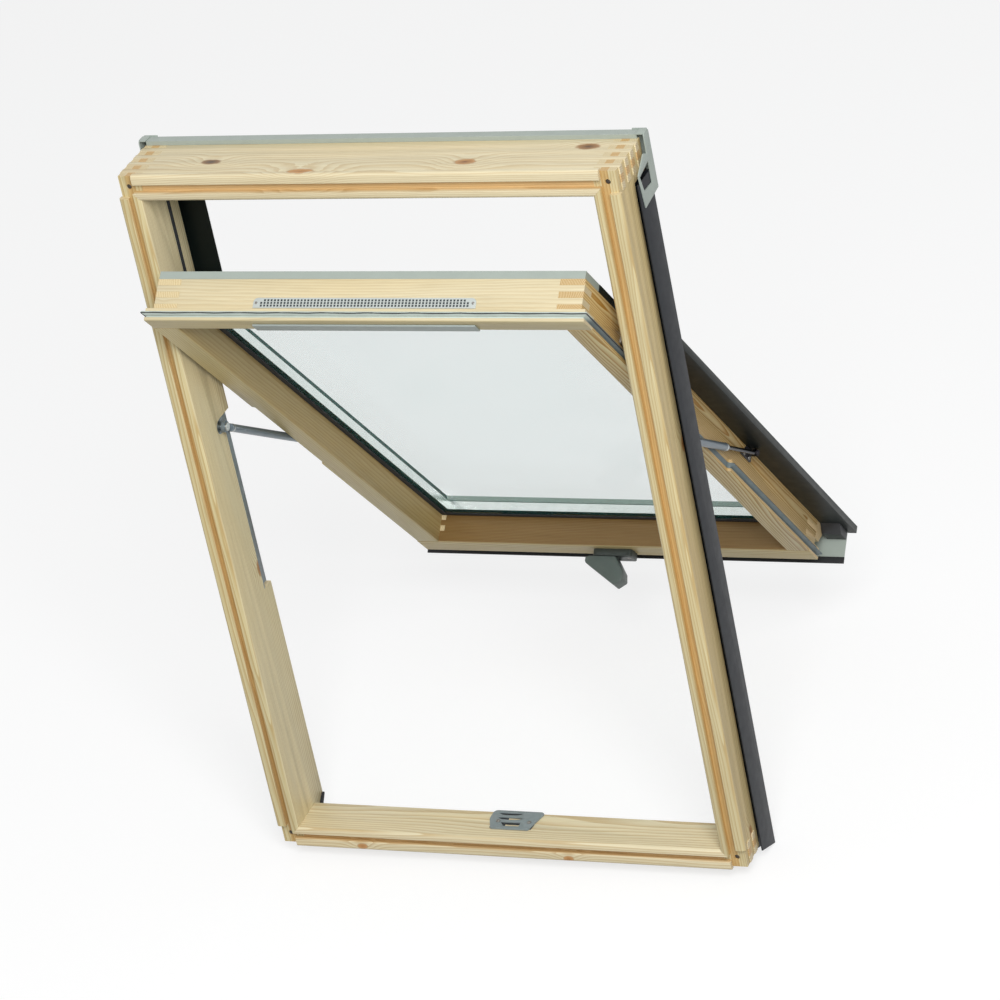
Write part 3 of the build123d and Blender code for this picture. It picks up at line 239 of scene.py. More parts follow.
def wood(name, node, grain, across, pith, knots=(), contrast=1.0, tint=(1.0, 1.0, 1.0),
         end_tone=0.15, painted_shade_faces=(), spacing=1.0, groove=None):
    """Pine: growth rings about a pith outside the piece, fibres, colour drift and knots.

    pith is the distance of the tree's centre in the across and through directions, in metres.
    A knot is (distance through, distance along, radius, dark) and runs in from the across face.
    With a fifth value "through" it runs in from the through face, and its first value is across.
    end_tone is how dark the cut ends are, and a reveal is (direction, colour): painted shade on the faces
    that turn that way.
    groove is (direction, low, high): the band in which the front groove lies, whose deep part gets painted
    shade.
    """
    settings = bpy.context.scene.skylight_wood
    g = Graph(name)
    low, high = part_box(node)
    middle = (Vector(low) + Vector(high)) / 2
    through = grain.cross(across)
    offset = g.vector("SUBTRACT", g.place(), tuple(middle))
    parts = [g.vector("DOT_PRODUCT", offset, tuple(axis)) for axis in (across, through, grain)]
    join = g.add("ShaderNodeCombineXYZ")
    for socket, part in zip(join.inputs, parts):
        g.join(part, socket)
    grown = join.outputs[0]

    flat = g.vector("MULTIPLY", grown, (1.0, 1.0, 0.0))
    radius = g.vector("LENGTH", g.vector("SUBTRACT", flat, (pith[0], pith[1], 0.0)))
    wave = g.noise(g.vector("MULTIPLY", grown, WAVE_SCALE), 1.0, 3.0, 0.55)
    radius = g.maths("MULTIPLY_ADD", g.maths("SUBTRACT", wave, 0.5), settings.wave, radius)
    radius, mask, heart = swell_round_knots(g, grown, radius, knots)

    drift = g.noise(g.vector("MULTIPLY", grown, DRIFT_SCALE), 1.0, 2.0)
    phase = g.maths("DIVIDE", radius, settings.ring_spacing * spacing * MM)
    phase = g.maths("MULTIPLY_ADD", drift, 2.2, phase)
    ring = g.maths("FRACT", phase)
    pale = tuple(c * k for c, k in zip(settings.pale, tint))
    late = tuple(p + (d * k - p) * contrast for p, d, k in zip(pale, settings.dark, tint))
    early = tuple(p * 0.7 + l * 0.3 for p, l in zip(pale, late))
    colour = g.ramp(ring, ((0.0, pale), (0.45, early), (0.84, late), (0.94, late), (1.0, pale)))
    warm = g.ramp(drift, ((0.3, (0.94, 0.92, 0.88)), (0.5, (1.0, 1.0, 1.0)), (0.72, (1.04, 1.0, 0.92))))
    colour = g.mix(1.0, colour, warm, "MULTIPLY")
    fibre = g.noise(g.vector("MULTIPLY", grown, FIBRE_SCALE), 1.0, 2.0, 0.6)
    streak = g.ramp(fibre, ((0.25, (0.86, 0.83, 0.78)), (0.5, (1.0, 1.0, 1.0)), (0.8, (1.04, 1.03, 1.0))))
    colour = g.mix(1.0, colour, streak, "MULTIPLY")
    normal = g.add("ShaderNodeTexCoord").outputs["Normal"]
    facing = g.vector("DOT_PRODUCT", normal, tuple(grain))
    end = g.span(g.maths("ABSOLUTE", facing), 0.6, 0.9, 0.0, end_tone)
    colour = g.mix(end, colour, (0.72, 0.48, 0.30), "MULTIPLY")
    # Painted shade: faces that turn the given way are darkened by the given colour.
    for direction, shade in painted_shade_faces:
        facing = g.vector("DOT_PRODUCT", normal, tuple(direction))
        colour = g.mix(g.span(facing, 0.55, 0.8, 0.0, 1.0), colour, shade, "MULTIPLY")
    # Painted shade: the deep part of the front groove is darkened and warmed.
    if groove:
        direction, near, far = groove
        reach = g.vector("DOT_PRODUCT", g.place(), tuple(direction))
        band = g.maths("MULTIPLY", g.maths("GREATER_THAN", reach, near), g.maths("LESS_THAN", reach, far))
        depth = g.vector("DOT_PRODUCT", g.place(), tuple(THROUGH))
        groove_shade = g.span(depth, GROOVE_SHADE_START, GROOVE_SHADE_FULL, 0.0, 1.0)
        colour = g.mix(g.maths("MULTIPLY", band, groove_shade), colour, (0.88, 0.70, 0.50), "MULTIPLY")
    if mask is not None:
        colour = g.mix(mask, colour, heart)
    g.join(colour, g.shader.inputs["Base Color"])
    g.join(g.span(fibre, 0.3, 0.7, settings.roughness + 0.08, settings.roughness - 0.05),
           g.shader.inputs["Roughness"])
    height = g.maths("MULTIPLY_ADD", ring, 0.25, fibre)
    g.bump(height, 0.00012)
    return g.material


def painted(name, colour, roughness, speck=0.05, metallic=0.0, shine=0.5):
    """Powder coat or lacquer: fine orange peel and a faint drift of tone."""
    g = Graph(name)
    place = g.place()
    drift = g.noise(place, 60.0, 3.0)
    g.coat(colour, g.span(drift, 0.25, 0.75, 1.0 - speck, 1.0 + speck))
    g.join(g.span(drift, 0.2, 0.8, roughness + 0.06, roughness - 0.04), g.shader.inputs["Roughness"])
    g.shader.inputs["Metallic"].default_value = metallic
    g.shader.inputs["Specular IOR Level"].default_value = shine
    g.bump(g.noise(place, 2600.0, 1.0), 0.00003, 0.6)
    return g.material


def plated(name, colour, roughness):
    """Plated or polished steel with a fine uneven sheen."""
    g = Graph(name)
    place = g.place()
    cells = g.add("ShaderNodeTexVoronoi")
    cells.inputs["Scale"].default_value = 900.0
    g.join(place, cells.inputs["Vector"])
    g.coat(colour, g.span(cells.outputs["Color"], 0.0, 1.0, 0.86, 1.08))
    g.shader.inputs["Metallic"].default_value = 1.0
    g.join(g.span(g.noise(place, 300.0), 0.3, 0.7, roughness - 0.06, roughness + 0.08),
           g.shader.inputs["Roughness"])
    g.bump(g.noise(place, 1800.0, 1.0), 0.00002, 0.5)
    return g.material


def rubber(name, colour, roughness=0.72):
    """Soft extruded rubber with a dusty, slightly pitted skin."""
    g = Graph(name)
    place = g.place()
    cloud = g.noise(place, 45.0, 4.0)
    g.coat(colour, g.span(cloud, 0.3, 0.7, 0.8, 1.25))
    g.join(g.span(cloud, 0.3, 0.7, roughness - 0.08, roughness + 0.1), g.shader.inputs["Roughness"])
    g.bump(g.noise(place, 1500.0, 2.0), 0.00006, 0.7)
    return g.material


def clear_glass(name):
    """Float glass as a see-through face with a faint green tone and a sharp sheen."""
    settings = bpy.context.scene.skylight_glass
    g = Graph(name)
    shader = g.shader.inputs
    shader["Base Color"].default_value = (*settings.colour, 1.0)
    shader["Roughness"].default_value = 0.02
    shader["IOR"].default_value = 1.5
    cloud = g.noise(g.place(), 6.0, 2.0)
    g.join(g.span(cloud, 0.3, 0.7, settings.body * 0.92, settings.body * 1.08), shader["Alpha"])
    g.bump(g.noise(g.place(), 5.0, 1.0), 0.00004, 0.4)
    return g.material


def background_rays(tree):
    """1 for rays that show the background: seen directly, in a reflection or through glass."""
    path = tree.nodes.new("ShaderNodeLightPath")
    most = path.outputs["Is Camera Ray"]
    for kind in ("Is Glossy Ray", "Is Transmission Ray"):
        node = tree.nodes.new("ShaderNodeMath")
        node.operation = "MAXIMUM"
        tree.links.new(most, node.inputs[0])
        tree.links.new(path.outputs[kind], node.inputs[1])
        most = node.outputs[0]
    return most


# Meshes

def named_piece(name, mesh, body, material, replaces=()):
    """Object for a mesh that moves with a body, and stands for the nodes it replaces."""
    piece = bpy.data.objects.new(name, mesh)
    bpy.context.scene.collection.objects.link(piece)
    mesh.materials.clear()
    mesh.materials.append(material)
    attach(piece, body)
    if replaces:
        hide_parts(*replaces)


def smooth_by_angle(mesh):
    for polygon in mesh.polygons:
        polygon.use_smooth = True
    mesh.set_sharp_from_angle(angle=math.radians(SMOOTH_BELOW))


def rounded(node, material, radius, segments=2):
    """Replace a node by a copy of it whose sharp edges are rounded; the radius is in millimetres."""
    source = frame["nodes"][node]
    work = bmesh.new()
    work.from_mesh(source.data)
    bmesh.ops.remove_doubles(work, verts=work.verts, dist=SAME_POINT)
    bmesh.ops.dissolve_limit(work, angle_limit=math.radians(0.8), verts=work.verts, edges=work.edges)
    limit = math.radians(SHARP_EDGE)
    edges = [edge for edge in work.edges
             if len(edge.link_faces) == 2 and edge.calc_face_angle(0.0) > limit]
    bmesh.ops.bevel(work, geom=edges, offset=radius * MM, offset_type="OFFSET", segments=segments,
                    profile=0.5, affect="EDGES", clamp_overlap=True)
    mesh = bpy.data.meshes.new(node + "_dressed")
    work.to_mesh(mesh)
    work.free()
    smooth_by_angle(mesh)
    named_piece(node + "_dressed", mesh, BODY_OF[node], material, (node,))


def carried(node, material):
    """Give a node that keeps its shape its finish."""
    piece = frame["nodes"][node]
    if not piece.material_slots:
        piece.data.materials.append(material)
    for slot in piece.material_slots:
        slot.material = material


def mesh_from(work, name):
    mesh = bpy.data.meshes.new(name)
    bmesh.ops.recalc_face_normals(work, faces=work.faces)
    work.to_mesh(mesh)
    work.free()
    smooth_by_angle(mesh)
    return mesh


def turned(work, profile, origin, direction, segments=32):
    """Lathe a profile of (radius, distance) in metres about a line; a third value is the lobes' depth."""
    direction = direction.normalized()
    side = direction.orthogonal().normalized()
    other = direction.cross(side)
    rings = []
    for radius, distance, *lobe in profile:
        centre = origin + direction * distance
        if radius <= 0.0:
            rings.append([work.verts.new(centre)])
            continue
        ring = []
        for index in range(segments):
            turn = 2 * math.pi * index / segments
            reach = radius * (1 - lobe[0] * (0.5 + 0.5 * math.cos(6 * turn))) if lobe else radius
            ring.append(work.verts.new(centre + (side * math.cos(turn) + other * math.sin(turn)) * reach))
        rings.append(ring)
    for first, second in zip(rings, rings[1:]):
        for index in range(segments):
            after = (index + 1) % segments
            if len(first) == 1:
                work.faces.new((first[0], second[after], second[index]))
            elif len(second) == 1:
                work.faces.new((first[index], first[after], second[0]))
            else:
                work.faces.new((first[index], first[after], second[after], second[index]))


def loose_parts(mesh):
    """Groups of points of a mesh that hang together, each as an array of places."""
    work = bmesh.new()
    work.from_mesh(mesh)
    bmesh.ops.remove_doubles(work, verts=work.verts, dist=SAME_POINT)
    seen = set()
    parts = []
    for start in work.verts:
        if start in seen:
            continue
        seen.add(start)
        waiting = [start]
        part = []
        while waiting:
            vert = waiting.pop()
            part.append(tuple(vert.co))
            for edge in vert.link_edges:
                other = edge.other_vert(vert)
                if other not in seen:
                    seen.add(other)
                    waiting.append(other)
        parts.append(np.array(part))
    work.free()
    return parts


def screws(node, material):
    """Turned screws with lobed sockets in place of a node's plain ones."""
    work = bmesh.new()
    for points in loose_parts(frame["nodes"][node].data):
        middle = points.mean(0)
        axis = np.linalg.svd(points - middle)[2][0]
        along = (points - middle) @ axis
        away = np.linalg.norm(points - middle - np.outer(along, axis), axis=1)
        if away[along > 0].max() < away[along < 0].max():
            axis, along = -axis, -along
        shank = away[along < 0].max()
        head = away.max()
        low, high = along.min(), along.max()
        seat = along[away > (shank + head) / 2].min() if head > shank * 1.2 else high - shank
        tall = high - seat
        recess = head * 0.52
        shaft = [(0.0, low), (shank, low + shank * 3), (shank, seat)]
        rim = [(head * 0.97, seat), (head, seat + tall * 0.3), (head * 0.93, seat + tall * 0.75),
               (head * 0.74, high)]
        socket = [(recess * 1.12, high), (recess, high - tall * 0.1, 0.2),
                  (recess * 0.94, high - tall * 0.6, 0.22), (0.0, high - tall * 0.66)]
        turned(work, shaft + rim + socket, Vector(middle), Vector(axis), 36)
    name = node + "_dressed"
    named_piece(name, mesh_from(work, name), BODY_OF[node], material, (node,))


def plate_mesh(name, outlines, thickness, bevel, pose):
    """Flat plate with bevelled edges, in millimetres; the first outline is its edge, the others holes."""
    curve = bpy.data.curves.new(name, "CURVE")
    curve.dimensions = "2D"
    curve.fill_mode = "BOTH"
    curve.extrude = (thickness / 2 - bevel) * MM
    curve.bevel_depth = bevel * MM
    curve.bevel_resolution = 1
    curve.offset = -bevel * MM
    for outline in outlines:
        spline = curve.splines.new("POLY")
        spline.points.add(len(outline) - 1)
        for point, (u, v) in zip(spline.points, outline):
            point.co = (u * MM, v * MM, 0.0, 1.0)
        spline.use_cyclic_u = True
    holder = bpy.data.objects.new(name, curve)
    bpy.context.scene.collection.objects.link(holder)
    shown = holder.evaluated_get(bpy.context.evaluated_depsgraph_get())
    flat = bpy.data.meshes.new_from_object(shown)
    bpy.data.objects.remove(holder)
    work = bmesh.new()
    work.from_mesh(flat)
    bpy.data.meshes.remove(flat)
    bmesh.ops.remove_doubles(work, verts=work.verts, dist=2 * SAME_POINT)
    bmesh.ops.transform(work, matrix=pose, verts=work.verts)
    return mesh_from(work, name)


def round_corners(points, radius, steps=4):
    """Polygon with every corner replaced by a short arc."""
    made = []
    for before, corner, after in zip(points[-1:] + points[:-1], points, points[1:] + points[:1]):
        here = Vector(corner)
        back = (Vector(before) - here).normalized()
        ahead = (Vector(after) - here).normalized()
        reach = min(radius, (Vector(before) - here).length * 0.45, (Vector(after) - here).length * 0.45)
        for step in range(steps + 1):
            share = step / steps
            point = here + back * reach * (1 - share) ** 2 + ahead * reach * share ** 2
            made.append(tuple(point))
    return made


def bead(work, points, radius, segments=8):
    """Thin round strip that follows a line of points; the radius is in millimetres."""
    rings = []
    for index, point in enumerate(points):
        run = (points[min(index + 1, len(points) - 1)] - points[max(index - 1, 0)]).normalized()
        side = run.cross(THROUGH).normalized()
        other = run.cross(side)
        ring = []
        for step in range(segments):
            turn = 2 * math.pi * step / segments
            out = side * math.cos(turn) + other * math.sin(turn)
            ring.append(work.verts.new(point + out * radius * MM))
        rings.append(ring)
    for first, second in zip(rings, rings[1:]):
        for step in range(segments):
            after = (step + 1) % segments
            work.faces.new((first[step], first[after], second[after], second[step]))
    work.faces.new(rings[0][::-1])
    work.faces.new(rings[-1])


# Settings that a user may change

class SKYLIGHT_PG_wood(bpy.types.PropertyGroup):
    """Finish of the pine members"""
    pale: FloatVectorProperty(name="Early Wood", description="Colour of the wide pale part of a ring",
                              subtype="COLOR", size=3, default=(0.79, 0.71, 0.49))
    dark: FloatVectorProperty(name="Late Wood", description="Colour of the narrow dark line of a ring",
                              subtype="COLOR", size=3, default=(0.61, 0.47, 0.26))
    ring_spacing: FloatProperty(name="Ring Spacing", description="Width of a year's growth in millimetres",
                                default=3.4, min=0.5, max=12.0)
    wave: FloatProperty(name="Wave", description="How far the rings wander, in metres", default=0.018,
                        min=0.0, max=0.1, subtype="DISTANCE", unit="LENGTH")
    roughness: FloatProperty(name="Roughness", description="Roughness of the clear lacquer", default=0.46,
                             min=0.0, max=1.0, subtype="FACTOR")
    edge: FloatProperty(name="Edge Rounding", description="Radius of the members' edges in millimetres",
                        default=0.6, min=0.0, max=3.0)


class SKYLIGHT_PG_sheet(bpy.types.PropertyGroup):
    """Finish of the folded covers"""
    light: FloatVectorProperty(name="Light Casing", description="Powder coat of the light casings",
                               subtype="COLOR", size=3, default=(0.36, 0.41, 0.37))
    dark: FloatVectorProperty(name="Dark Cladding", description="Powder coat of the frame's side cladding",
                              subtype="COLOR", size=3, default=(0.010, 0.012, 0.016))
    cover: FloatVectorProperty(name="Sash Cover", description="Powder coat of the sash's side covers",
                               subtype="COLOR", size=3, default=(0.003, 0.006, 0.005))
    fold: FloatProperty(name="Fold Radius", description="Outer radius of a fold in millimetres",
                        default=0.35, min=0.05, max=0.49)


class SKYLIGHT_PG_glass(bpy.types.PropertyGroup):
    """Finish of the double glazing"""
    colour: FloatVectorProperty(name="Glass", description="Faint green of the panes", subtype="COLOR",
                                size=3, default=(0.19, 0.74, 0.68))
    body: FloatProperty(name="Body", description="Share of the light that one face of a pane holds back",
                        default=0.068, min=0.0, max=1.0, subtype="FACTOR")


class SKYLIGHT_PG_fittings(bpy.types.PropertyGroup):
    """Finish of hinges, struts, handle and vent"""
    handle: FloatVectorProperty(name="Handle", description="Lacquer of the handle and its base",
                                subtype="COLOR", size=3, default=(0.040, 0.050, 0.045))
    grey: FloatVectorProperty(name="Striker", description="Lacquer of the striker plate",
                              subtype="COLOR", size=3, default=(0.22, 0.26, 0.265))
    tube: FloatVectorProperty(name="Strut Tube", description="Paint of the gas struts' tubes",
                              subtype="COLOR", size=3, default=(0.16, 0.20, 0.23))
    slots: IntProperty(name="Grille Slots", description="Slots in one row of the vent grille",
                       default=62, min=8, max=120)


class SKYLIGHT_PG_stage(bpy.types.PropertyGroup):
    """Light and floor"""
    key: FloatProperty(name="Key Light", description="Power of the large lamp", default=315.0, min=0.0,
                       subtype="POWER", unit="POWER")
    ambient: FloatProperty(name="Ambient", description="Strength of the even light from all round",
                           default=0.42, min=0.0, max=2.0)


# Operators

class SKYLIGHT_OT_frame_wood(bpy.types.Operator):
    """Pine rails and stiles of the frame"""
    bl_idname = "skylight.frame_wood"
    bl_label = "Frame Wood"

    def execute(self, context):
        edge = context.scene.skylight_wood.edge
        tint = (1.01, 1.02, 0.98)
        knots = ((0.003, -0.2566, 0.0085, 1.0), (0.0395, -0.0975, 0.0115, 0.0),
                 (0.0121, 0.1495, 0.009, 0.2), (-0.031, 0.3226, 0.0095, 0.8))
        top = wood("pine_frame_top", "frame_top_rail", ACROSS, UP, (-0.075, 0.05), knots, contrast=0.7,
                   groove=(UP, 1.1555, 1.1678))
        rounded("frame_top_rail", top, edge)
        knots = ((-0.014, 0.10, 0.006, 0.0, "through"), (-0.012, -0.25, 0.006, 0.0, "through"))
        bottom = wood("pine_frame_bottom", "frame_bottom_rail", ACROSS, UP, (-0.08, -0.05), knots,
                      contrast=0.9, groove=(UP, 0.0122, 0.0245))
        rounded("frame_bottom_rail", bottom, edge)
        # The reveals paint shade on the stiles' room faces and on the right stile's outer side.
        knots = ((0.014, 0.28, 0.006, 0.1), (0.02, -0.12, 0.008, 0.2))
        left = wood("pine_frame_left", "frame_stile_left", UP, ACROSS, (-0.05, 0.07), knots, tint=tint,
                    painted_shade_faces=((-THROUGH, (0.88, 0.86, 0.76)),), spacing=0.75,
                    groove=(ACROSS, -0.3778, -0.3655))
        rounded("frame_stile_left", left, edge)
        knots = ((0.01, 0.12, 0.007, 0.1), (-0.01, -0.55, 0.006, 0.3))
        right = wood("pine_frame_right", "frame_stile_right", UP, ACROSS, (-0.06, 0.04), knots,
                     contrast=0.85, tint=tint, spacing=0.75, groove=(ACROSS, 0.3655, 0.3778),
                     painted_shade_faces=((ACROSS, (0.9, 0.82, 0.66)), (-THROUGH, (0.88, 0.86, 0.78))))
        rounded("frame_stile_right", right, edge)
        return {"FINISHED"}


class SKYLIGHT_OT_sash_wood(bpy.types.Operator):
    """Pine rails and stiles of the sash"""
    bl_idname = "skylight.sash_wood"
    bl_label = "Sash Wood"

    def execute(self, context):
        edge = context.scene.skylight_wood.edge
        tint = (0.99, 0.97, 0.88)
        # Painted shade: these colours darken the sash's reveals, its underside and the right stile's outer
        # side.
        reveal_shade = (0.60, 0.52, 0.36)
        under = (-SASH_THROUGH, (0.86, 0.85, 0.74))
        top = wood("pine_sash_top", "sash_top_rail", ACROSS, SASH_UP, (-0.07, 0.05),
                   ((-0.004, -0.322, 0.0022, 1.0),), contrast=0.45, tint=(0.90, 0.89, 0.87),
                   end_tone=0.12, painted_shade_faces=(under,))
        rounded("sash_top_rail", top, edge)
        bottom = wood("pine_sash_bottom", "sash_bottom_rail", ACROSS, SASH_UP, (0.05, -0.06), contrast=1.3,
                      tint=tint, end_tone=0.3, painted_shade_faces=((SASH_UP, (0.36, 0.26, 0.15)), under), spacing=0.7)
        rounded("sash_bottom_rail", bottom, edge)
        left = wood("pine_sash_left", "sash_stile_left", SASH_UP, ACROSS, (0.09, 0.03), contrast=0.7,
                    tint=tint, painted_shade_faces=((ACROSS, reveal_shade), under))
        rounded("sash_stile_left", left, edge)
        right = wood("pine_sash_right", "sash_stile_right", SASH_UP, ACROSS, (0.028, 0.012), contrast=1.9,
                     tint=tint, end_tone=0.3, spacing=0.7,
                     painted_shade_faces=((-ACROSS, reveal_shade), (ACROSS, (0.86, 0.76, 0.58)), under))
        rounded("sash_stile_right", right, edge)
        return {"FINISHED"}


class SKYLIGHT_OT_sheet_covers(bpy.types.Operator):
    """Folded and powder coated covers of frame and sash"""
    bl_idname = "skylight.sheet_covers"
    bl_label = "Sheet Covers"

    def execute(self, context):
        settings = context.scene.skylight_sheet
        light = painted("light_powder_coat", settings.light, 0.38, 0.03)
        dark = painted("dark_powder_coat", settings.dark, 0.48, 0.06, shine=0.3)
        cover = painted("cover_powder_coat", settings.cover, 0.46, 0.06, shine=0.28)
        for node in ("frame_top_casing", "sash_top_casing", "sash_bottom_cover"):
            rounded(node, light, settings.fold)
        for node in ("casing_corner_left", "casing_corner_right"):
            rounded(node, light, 0.5)
        for node in ("side_cladding_left", "side_cladding_right", "bottom_cladding"):
            rounded(node, dark, settings.fold)
        for node in ("upper_cover_left", "upper_cover_right",
                     "sash_cover_upper_left", "sash_cover_upper_right",
                     "sash_cover_lower_left", "sash_cover_lower_right"):
            rounded(node, cover, settings.fold)
        # Painted highlight: a pale thin strip along each sash cover's fold.
        self.painted_fold_highlights(painted("fold_highlight_paint", (0.20, 0.23, 0.21), 0.35, 0.1))
        return {"FINISHED"}

    def painted_fold_highlights(self, material):
        """Thin paler line along the outer fold of each long sash cover: a painted highlight where the fold
        catches the light.
        """
        near, inset, end_gap, steps = 0.0005, 0.0004, 0.0006, 12
        work = bmesh.new()
        for side in ("left", "right"):
            mesh = frame["nodes"]["sash_cover_lower_" + side].data
            closed = [SASH_POSE.inverted() @ vert.co for vert in mesh.vertices]
            reach = max(abs(point.x) for point in closed)
            edge = [point for point in closed if abs(point.x) > reach - near]
            outer = max(point.y for point in edge)
            heights = [point.z for point in edge if point.y > outer - near]
            x = (reach - inset) * (-1 if side == "left" else 1)
            low, high = min(heights) + end_gap, max(heights) - end_gap
            run = [SASH_POSE @ Vector((x, outer - inset, low + (high - low) * k / steps))
                   for k in range(steps + 1)]
            bead(work, run, 0.38)
        named_piece("cover_fold_highlights", mesh_from(work, "cover_fold_highlights"), "sash", material)


class SKYLIGHT_OT_glazing(bpy.types.Operator):
    """Two panes, their spacer, gasket and blocks"""
    bl_idname = "skylight.glazing"
    bl_label = "Glazing"

    def execute(self, context):
        glass = clear_glass("pane_glass")
        carried("pane_inner", glass)
        carried("pane_outer", glass)
        carried("pane_spacer", painted("spacer_metal", (0.84, 0.88, 0.86), 0.22, 0.03, 1.0))
        carried("glazing_gasket", rubber("gasket_rubber", (0.010, 0.011, 0.012)))
        carried("setting_blocks", rubber("block_plastic", (0.02, 0.02, 0.022), 0.5))
        return {"FINISHED"}


class SKYLIGHT_OT_seals(bpy.types.Operator):
    """Rubber seals, and the caps and blocks of the lower corners"""
    bl_idname = "skylight.seals"
    bl_label = "Seals"

    def execute(self, context):
        grey = self.strip_rubber()
        black = rubber("seal_black", (0.012, 0.013, 0.015))
        cap = rubber("corner_plastic", (0.018, 0.019, 0.021), 0.45)
        rounded("sash_seal", grey, 0.4)
        rounded("apron_seal", black, 0.3)
        rounded("frame_seals", black, 0.2)
        for side in ("left", "right"):
            rounded("sash_corner_cap_" + side, cap, 0.8)
        self.beads(black)
        self.corner_blocks(black)
        return {"FINISHED"}

    def strip_rubber(self):
        """Grey of the sash's strip: a painted highlight makes the run over the top pale, and painted shade
        makes the sides darker blue-grey.
        """
        turn_low, turn_high = 0.985, 1.0
        g = Graph("seal_grey")
        height = g.vector("DOT_PRODUCT", g.place(), tuple(UP))
        cloud = g.noise(g.place(), 45.0, 4.0)
        # Painted light: the strip is pale above this height and darker blue-grey below it.
        colour = g.mix(g.span(height, turn_low, turn_high, 0.0, 1.0), (0.15, 0.19, 0.20), (0.58, 0.66, 0.61))
        colour = g.mix(g.span(cloud, 0.3, 0.7, 0.0, 0.3), colour, (0.70, 0.72, 0.72), "MULTIPLY")
        g.join(colour, g.shader.inputs["Base Color"])
        g.join(g.span(cloud, 0.3, 0.7, 0.5, 0.65), g.shader.inputs["Roughness"])
        g.bump(g.noise(g.place(), 1500.0, 2.0), 0.00006, 0.7)
        return g.material

    def beads(self, material):
        """Black rubber bead along the grey strip's edge, also standing in for the shade in the gap beside it:
        over the top, down to the hinges and below them.
        """
        # The black bead is partly real rubber and partly painted shade for the gap along the strip.
        half, top, depth, steps = 349.4, -4.4, 10.4, 70
        low_half, low_start, low_depth = 345.5, 655.0, 15.4
        across = []
        for index in range(steps + 1):
            x = -half + 2 * half * index / steps
            down = top + 0.25 * math.sin(index * 1.7)
            out = depth + 0.3 * math.sin(index * 0.9)
            across.append(SASH_POSE @ sash_point(x, down, out))
        work = bmesh.new()
        bead(work, across, 0.8)
        for side in (-1, 1):
            upper = [sash_point(side * half, top + 8.0 * k, depth) for k in range(23)]
            lower = [sash_point(side * low_half, low_start + 30.0 * k, low_depth) for k in range(15)]
            bead(work, [SASH_POSE @ point for point in upper], 0.8)
            bead(work, [SASH_POSE @ point for point in lower], 1.0)
        named_piece("seal_bead", mesh_from(work, "seal_bead"), "sash", material)

    def corner_blocks(self, material):
        """Rubber blocks that close the frame's lower corners, from the stile's face inwards."""
        stile_face, block_face = 354.0, 350.2
        outline = ((15.0, 10.0), (25.2, 10.0), (25.2, 19.6), (38.4, 33.2), (38.4, 36.0), (34.0, 36.0),
                   (15.0, 20.0))
        work = bmesh.new()
        for side in (-1, 1):
            near = [work.verts.new((side * stile_face * MM, y * MM, z * MM)) for y, z in outline]
            far = [work.verts.new((side * block_face * MM, y * MM, z * MM)) for y, z in outline]
            work.faces.new(near)
            work.faces.new(far[::-1])
            for index in range(len(outline)):
                after = (index + 1) % len(outline)
                work.faces.new((near[index], far[index], far[after], near[after]))
        bmesh.ops.recalc_face_normals(work, faces=work.faces)
        bmesh.ops.bevel(work, geom=work.edges[:], offset=0.6 * MM, segments=2, profile=0.5, affect="EDGES")
        named_piece("corner_blocks", mesh_from(work, "corner_blocks"), "frame", material)


class SKYLIGHT_OT_hinges(bpy.types.Operator):
    """Curved track hinges of frame and sash"""
    bl_idname = "skylight.hinges"
    bl_label = "Hinges"

    def execute(self, context):
        zinc = plated("hinge_zinc", (0.50, 0.51, 0.50), 0.34)
        for node in ("hinge_plate_left", "hinge_plate_right", "sash_hinge_left", "sash_hinge_right"):
            rounded(node, zinc, 0.4)
        return {"FINISHED"}


class SKYLIGHT_OT_struts(bpy.types.Operator):
    """Gas struts with their plates, pins and brackets"""
    bl_idname = "skylight.struts"
    bl_label = "Gas Struts"

    def execute(self, context):
        settings = context.scene.skylight_fittings
        tube = painted("strut_paint", settings.tube, 0.3, 0.04, 0.3)
        rod = plated("rod_steel", (0.05, 0.05, 0.055), 0.18)
        zinc = plated("strut_zinc", (0.55, 0.57, 0.56), 0.3)
        plate = plated("strut_plate_steel", (0.22, 0.25, 0.26), 0.4)
        bracket = painted("bracket_black", (0.02, 0.018, 0.024), 0.4, 0.05)
        for side in ("left", "right"):
            rounded("strut_cylinder_" + side, tube, 0.4)
            rounded("strut_rod_" + side, rod, 0.25)
            rounded("strut_plate_" + side, plate, 0.4)
            rounded("strut_bracket_" + side, bracket, 0.3)
            self.rings(side, zinc)
        rounded("strut_pins", zinc, 0.3)
        return {"FINISHED"}

    def rings(self, side, material):
        """Rolled rings near both ends of the tube."""
        start = Vector(JOINTS["strut_pivot_" + side]["pos_m"])
        run = Vector(JOINTS["strut_slide_" + side]["axis"]).normalized()
        if run.z > 0:
            run = -run
        tube = 6.25 * MM
        end = 314.6 * MM
        inner = tube * 0.98
        work = bmesh.new()
        at_end = [(inner, end - 7 * MM), (tube + 0.35 * MM, end - 6.4 * MM),
                  (tube + 0.45 * MM, end - 5 * MM), (tube + 0.35 * MM, end - 3.6 * MM),
                  (inner, end - 3 * MM)]
        by_eye = [(inner, 22 * MM), (tube + 0.3 * MM, 22.6 * MM), (tube + 0.3 * MM, 24 * MM),
                  (inner, 24.6 * MM)]
        turned(work, at_end, start, run, 32)
        turned(work, by_eye, start, run, 32)
        name = "strut_rings_" + side
        named_piece(name, mesh_from(work, name), BODY_OF["strut_cylinder_" + side], material)


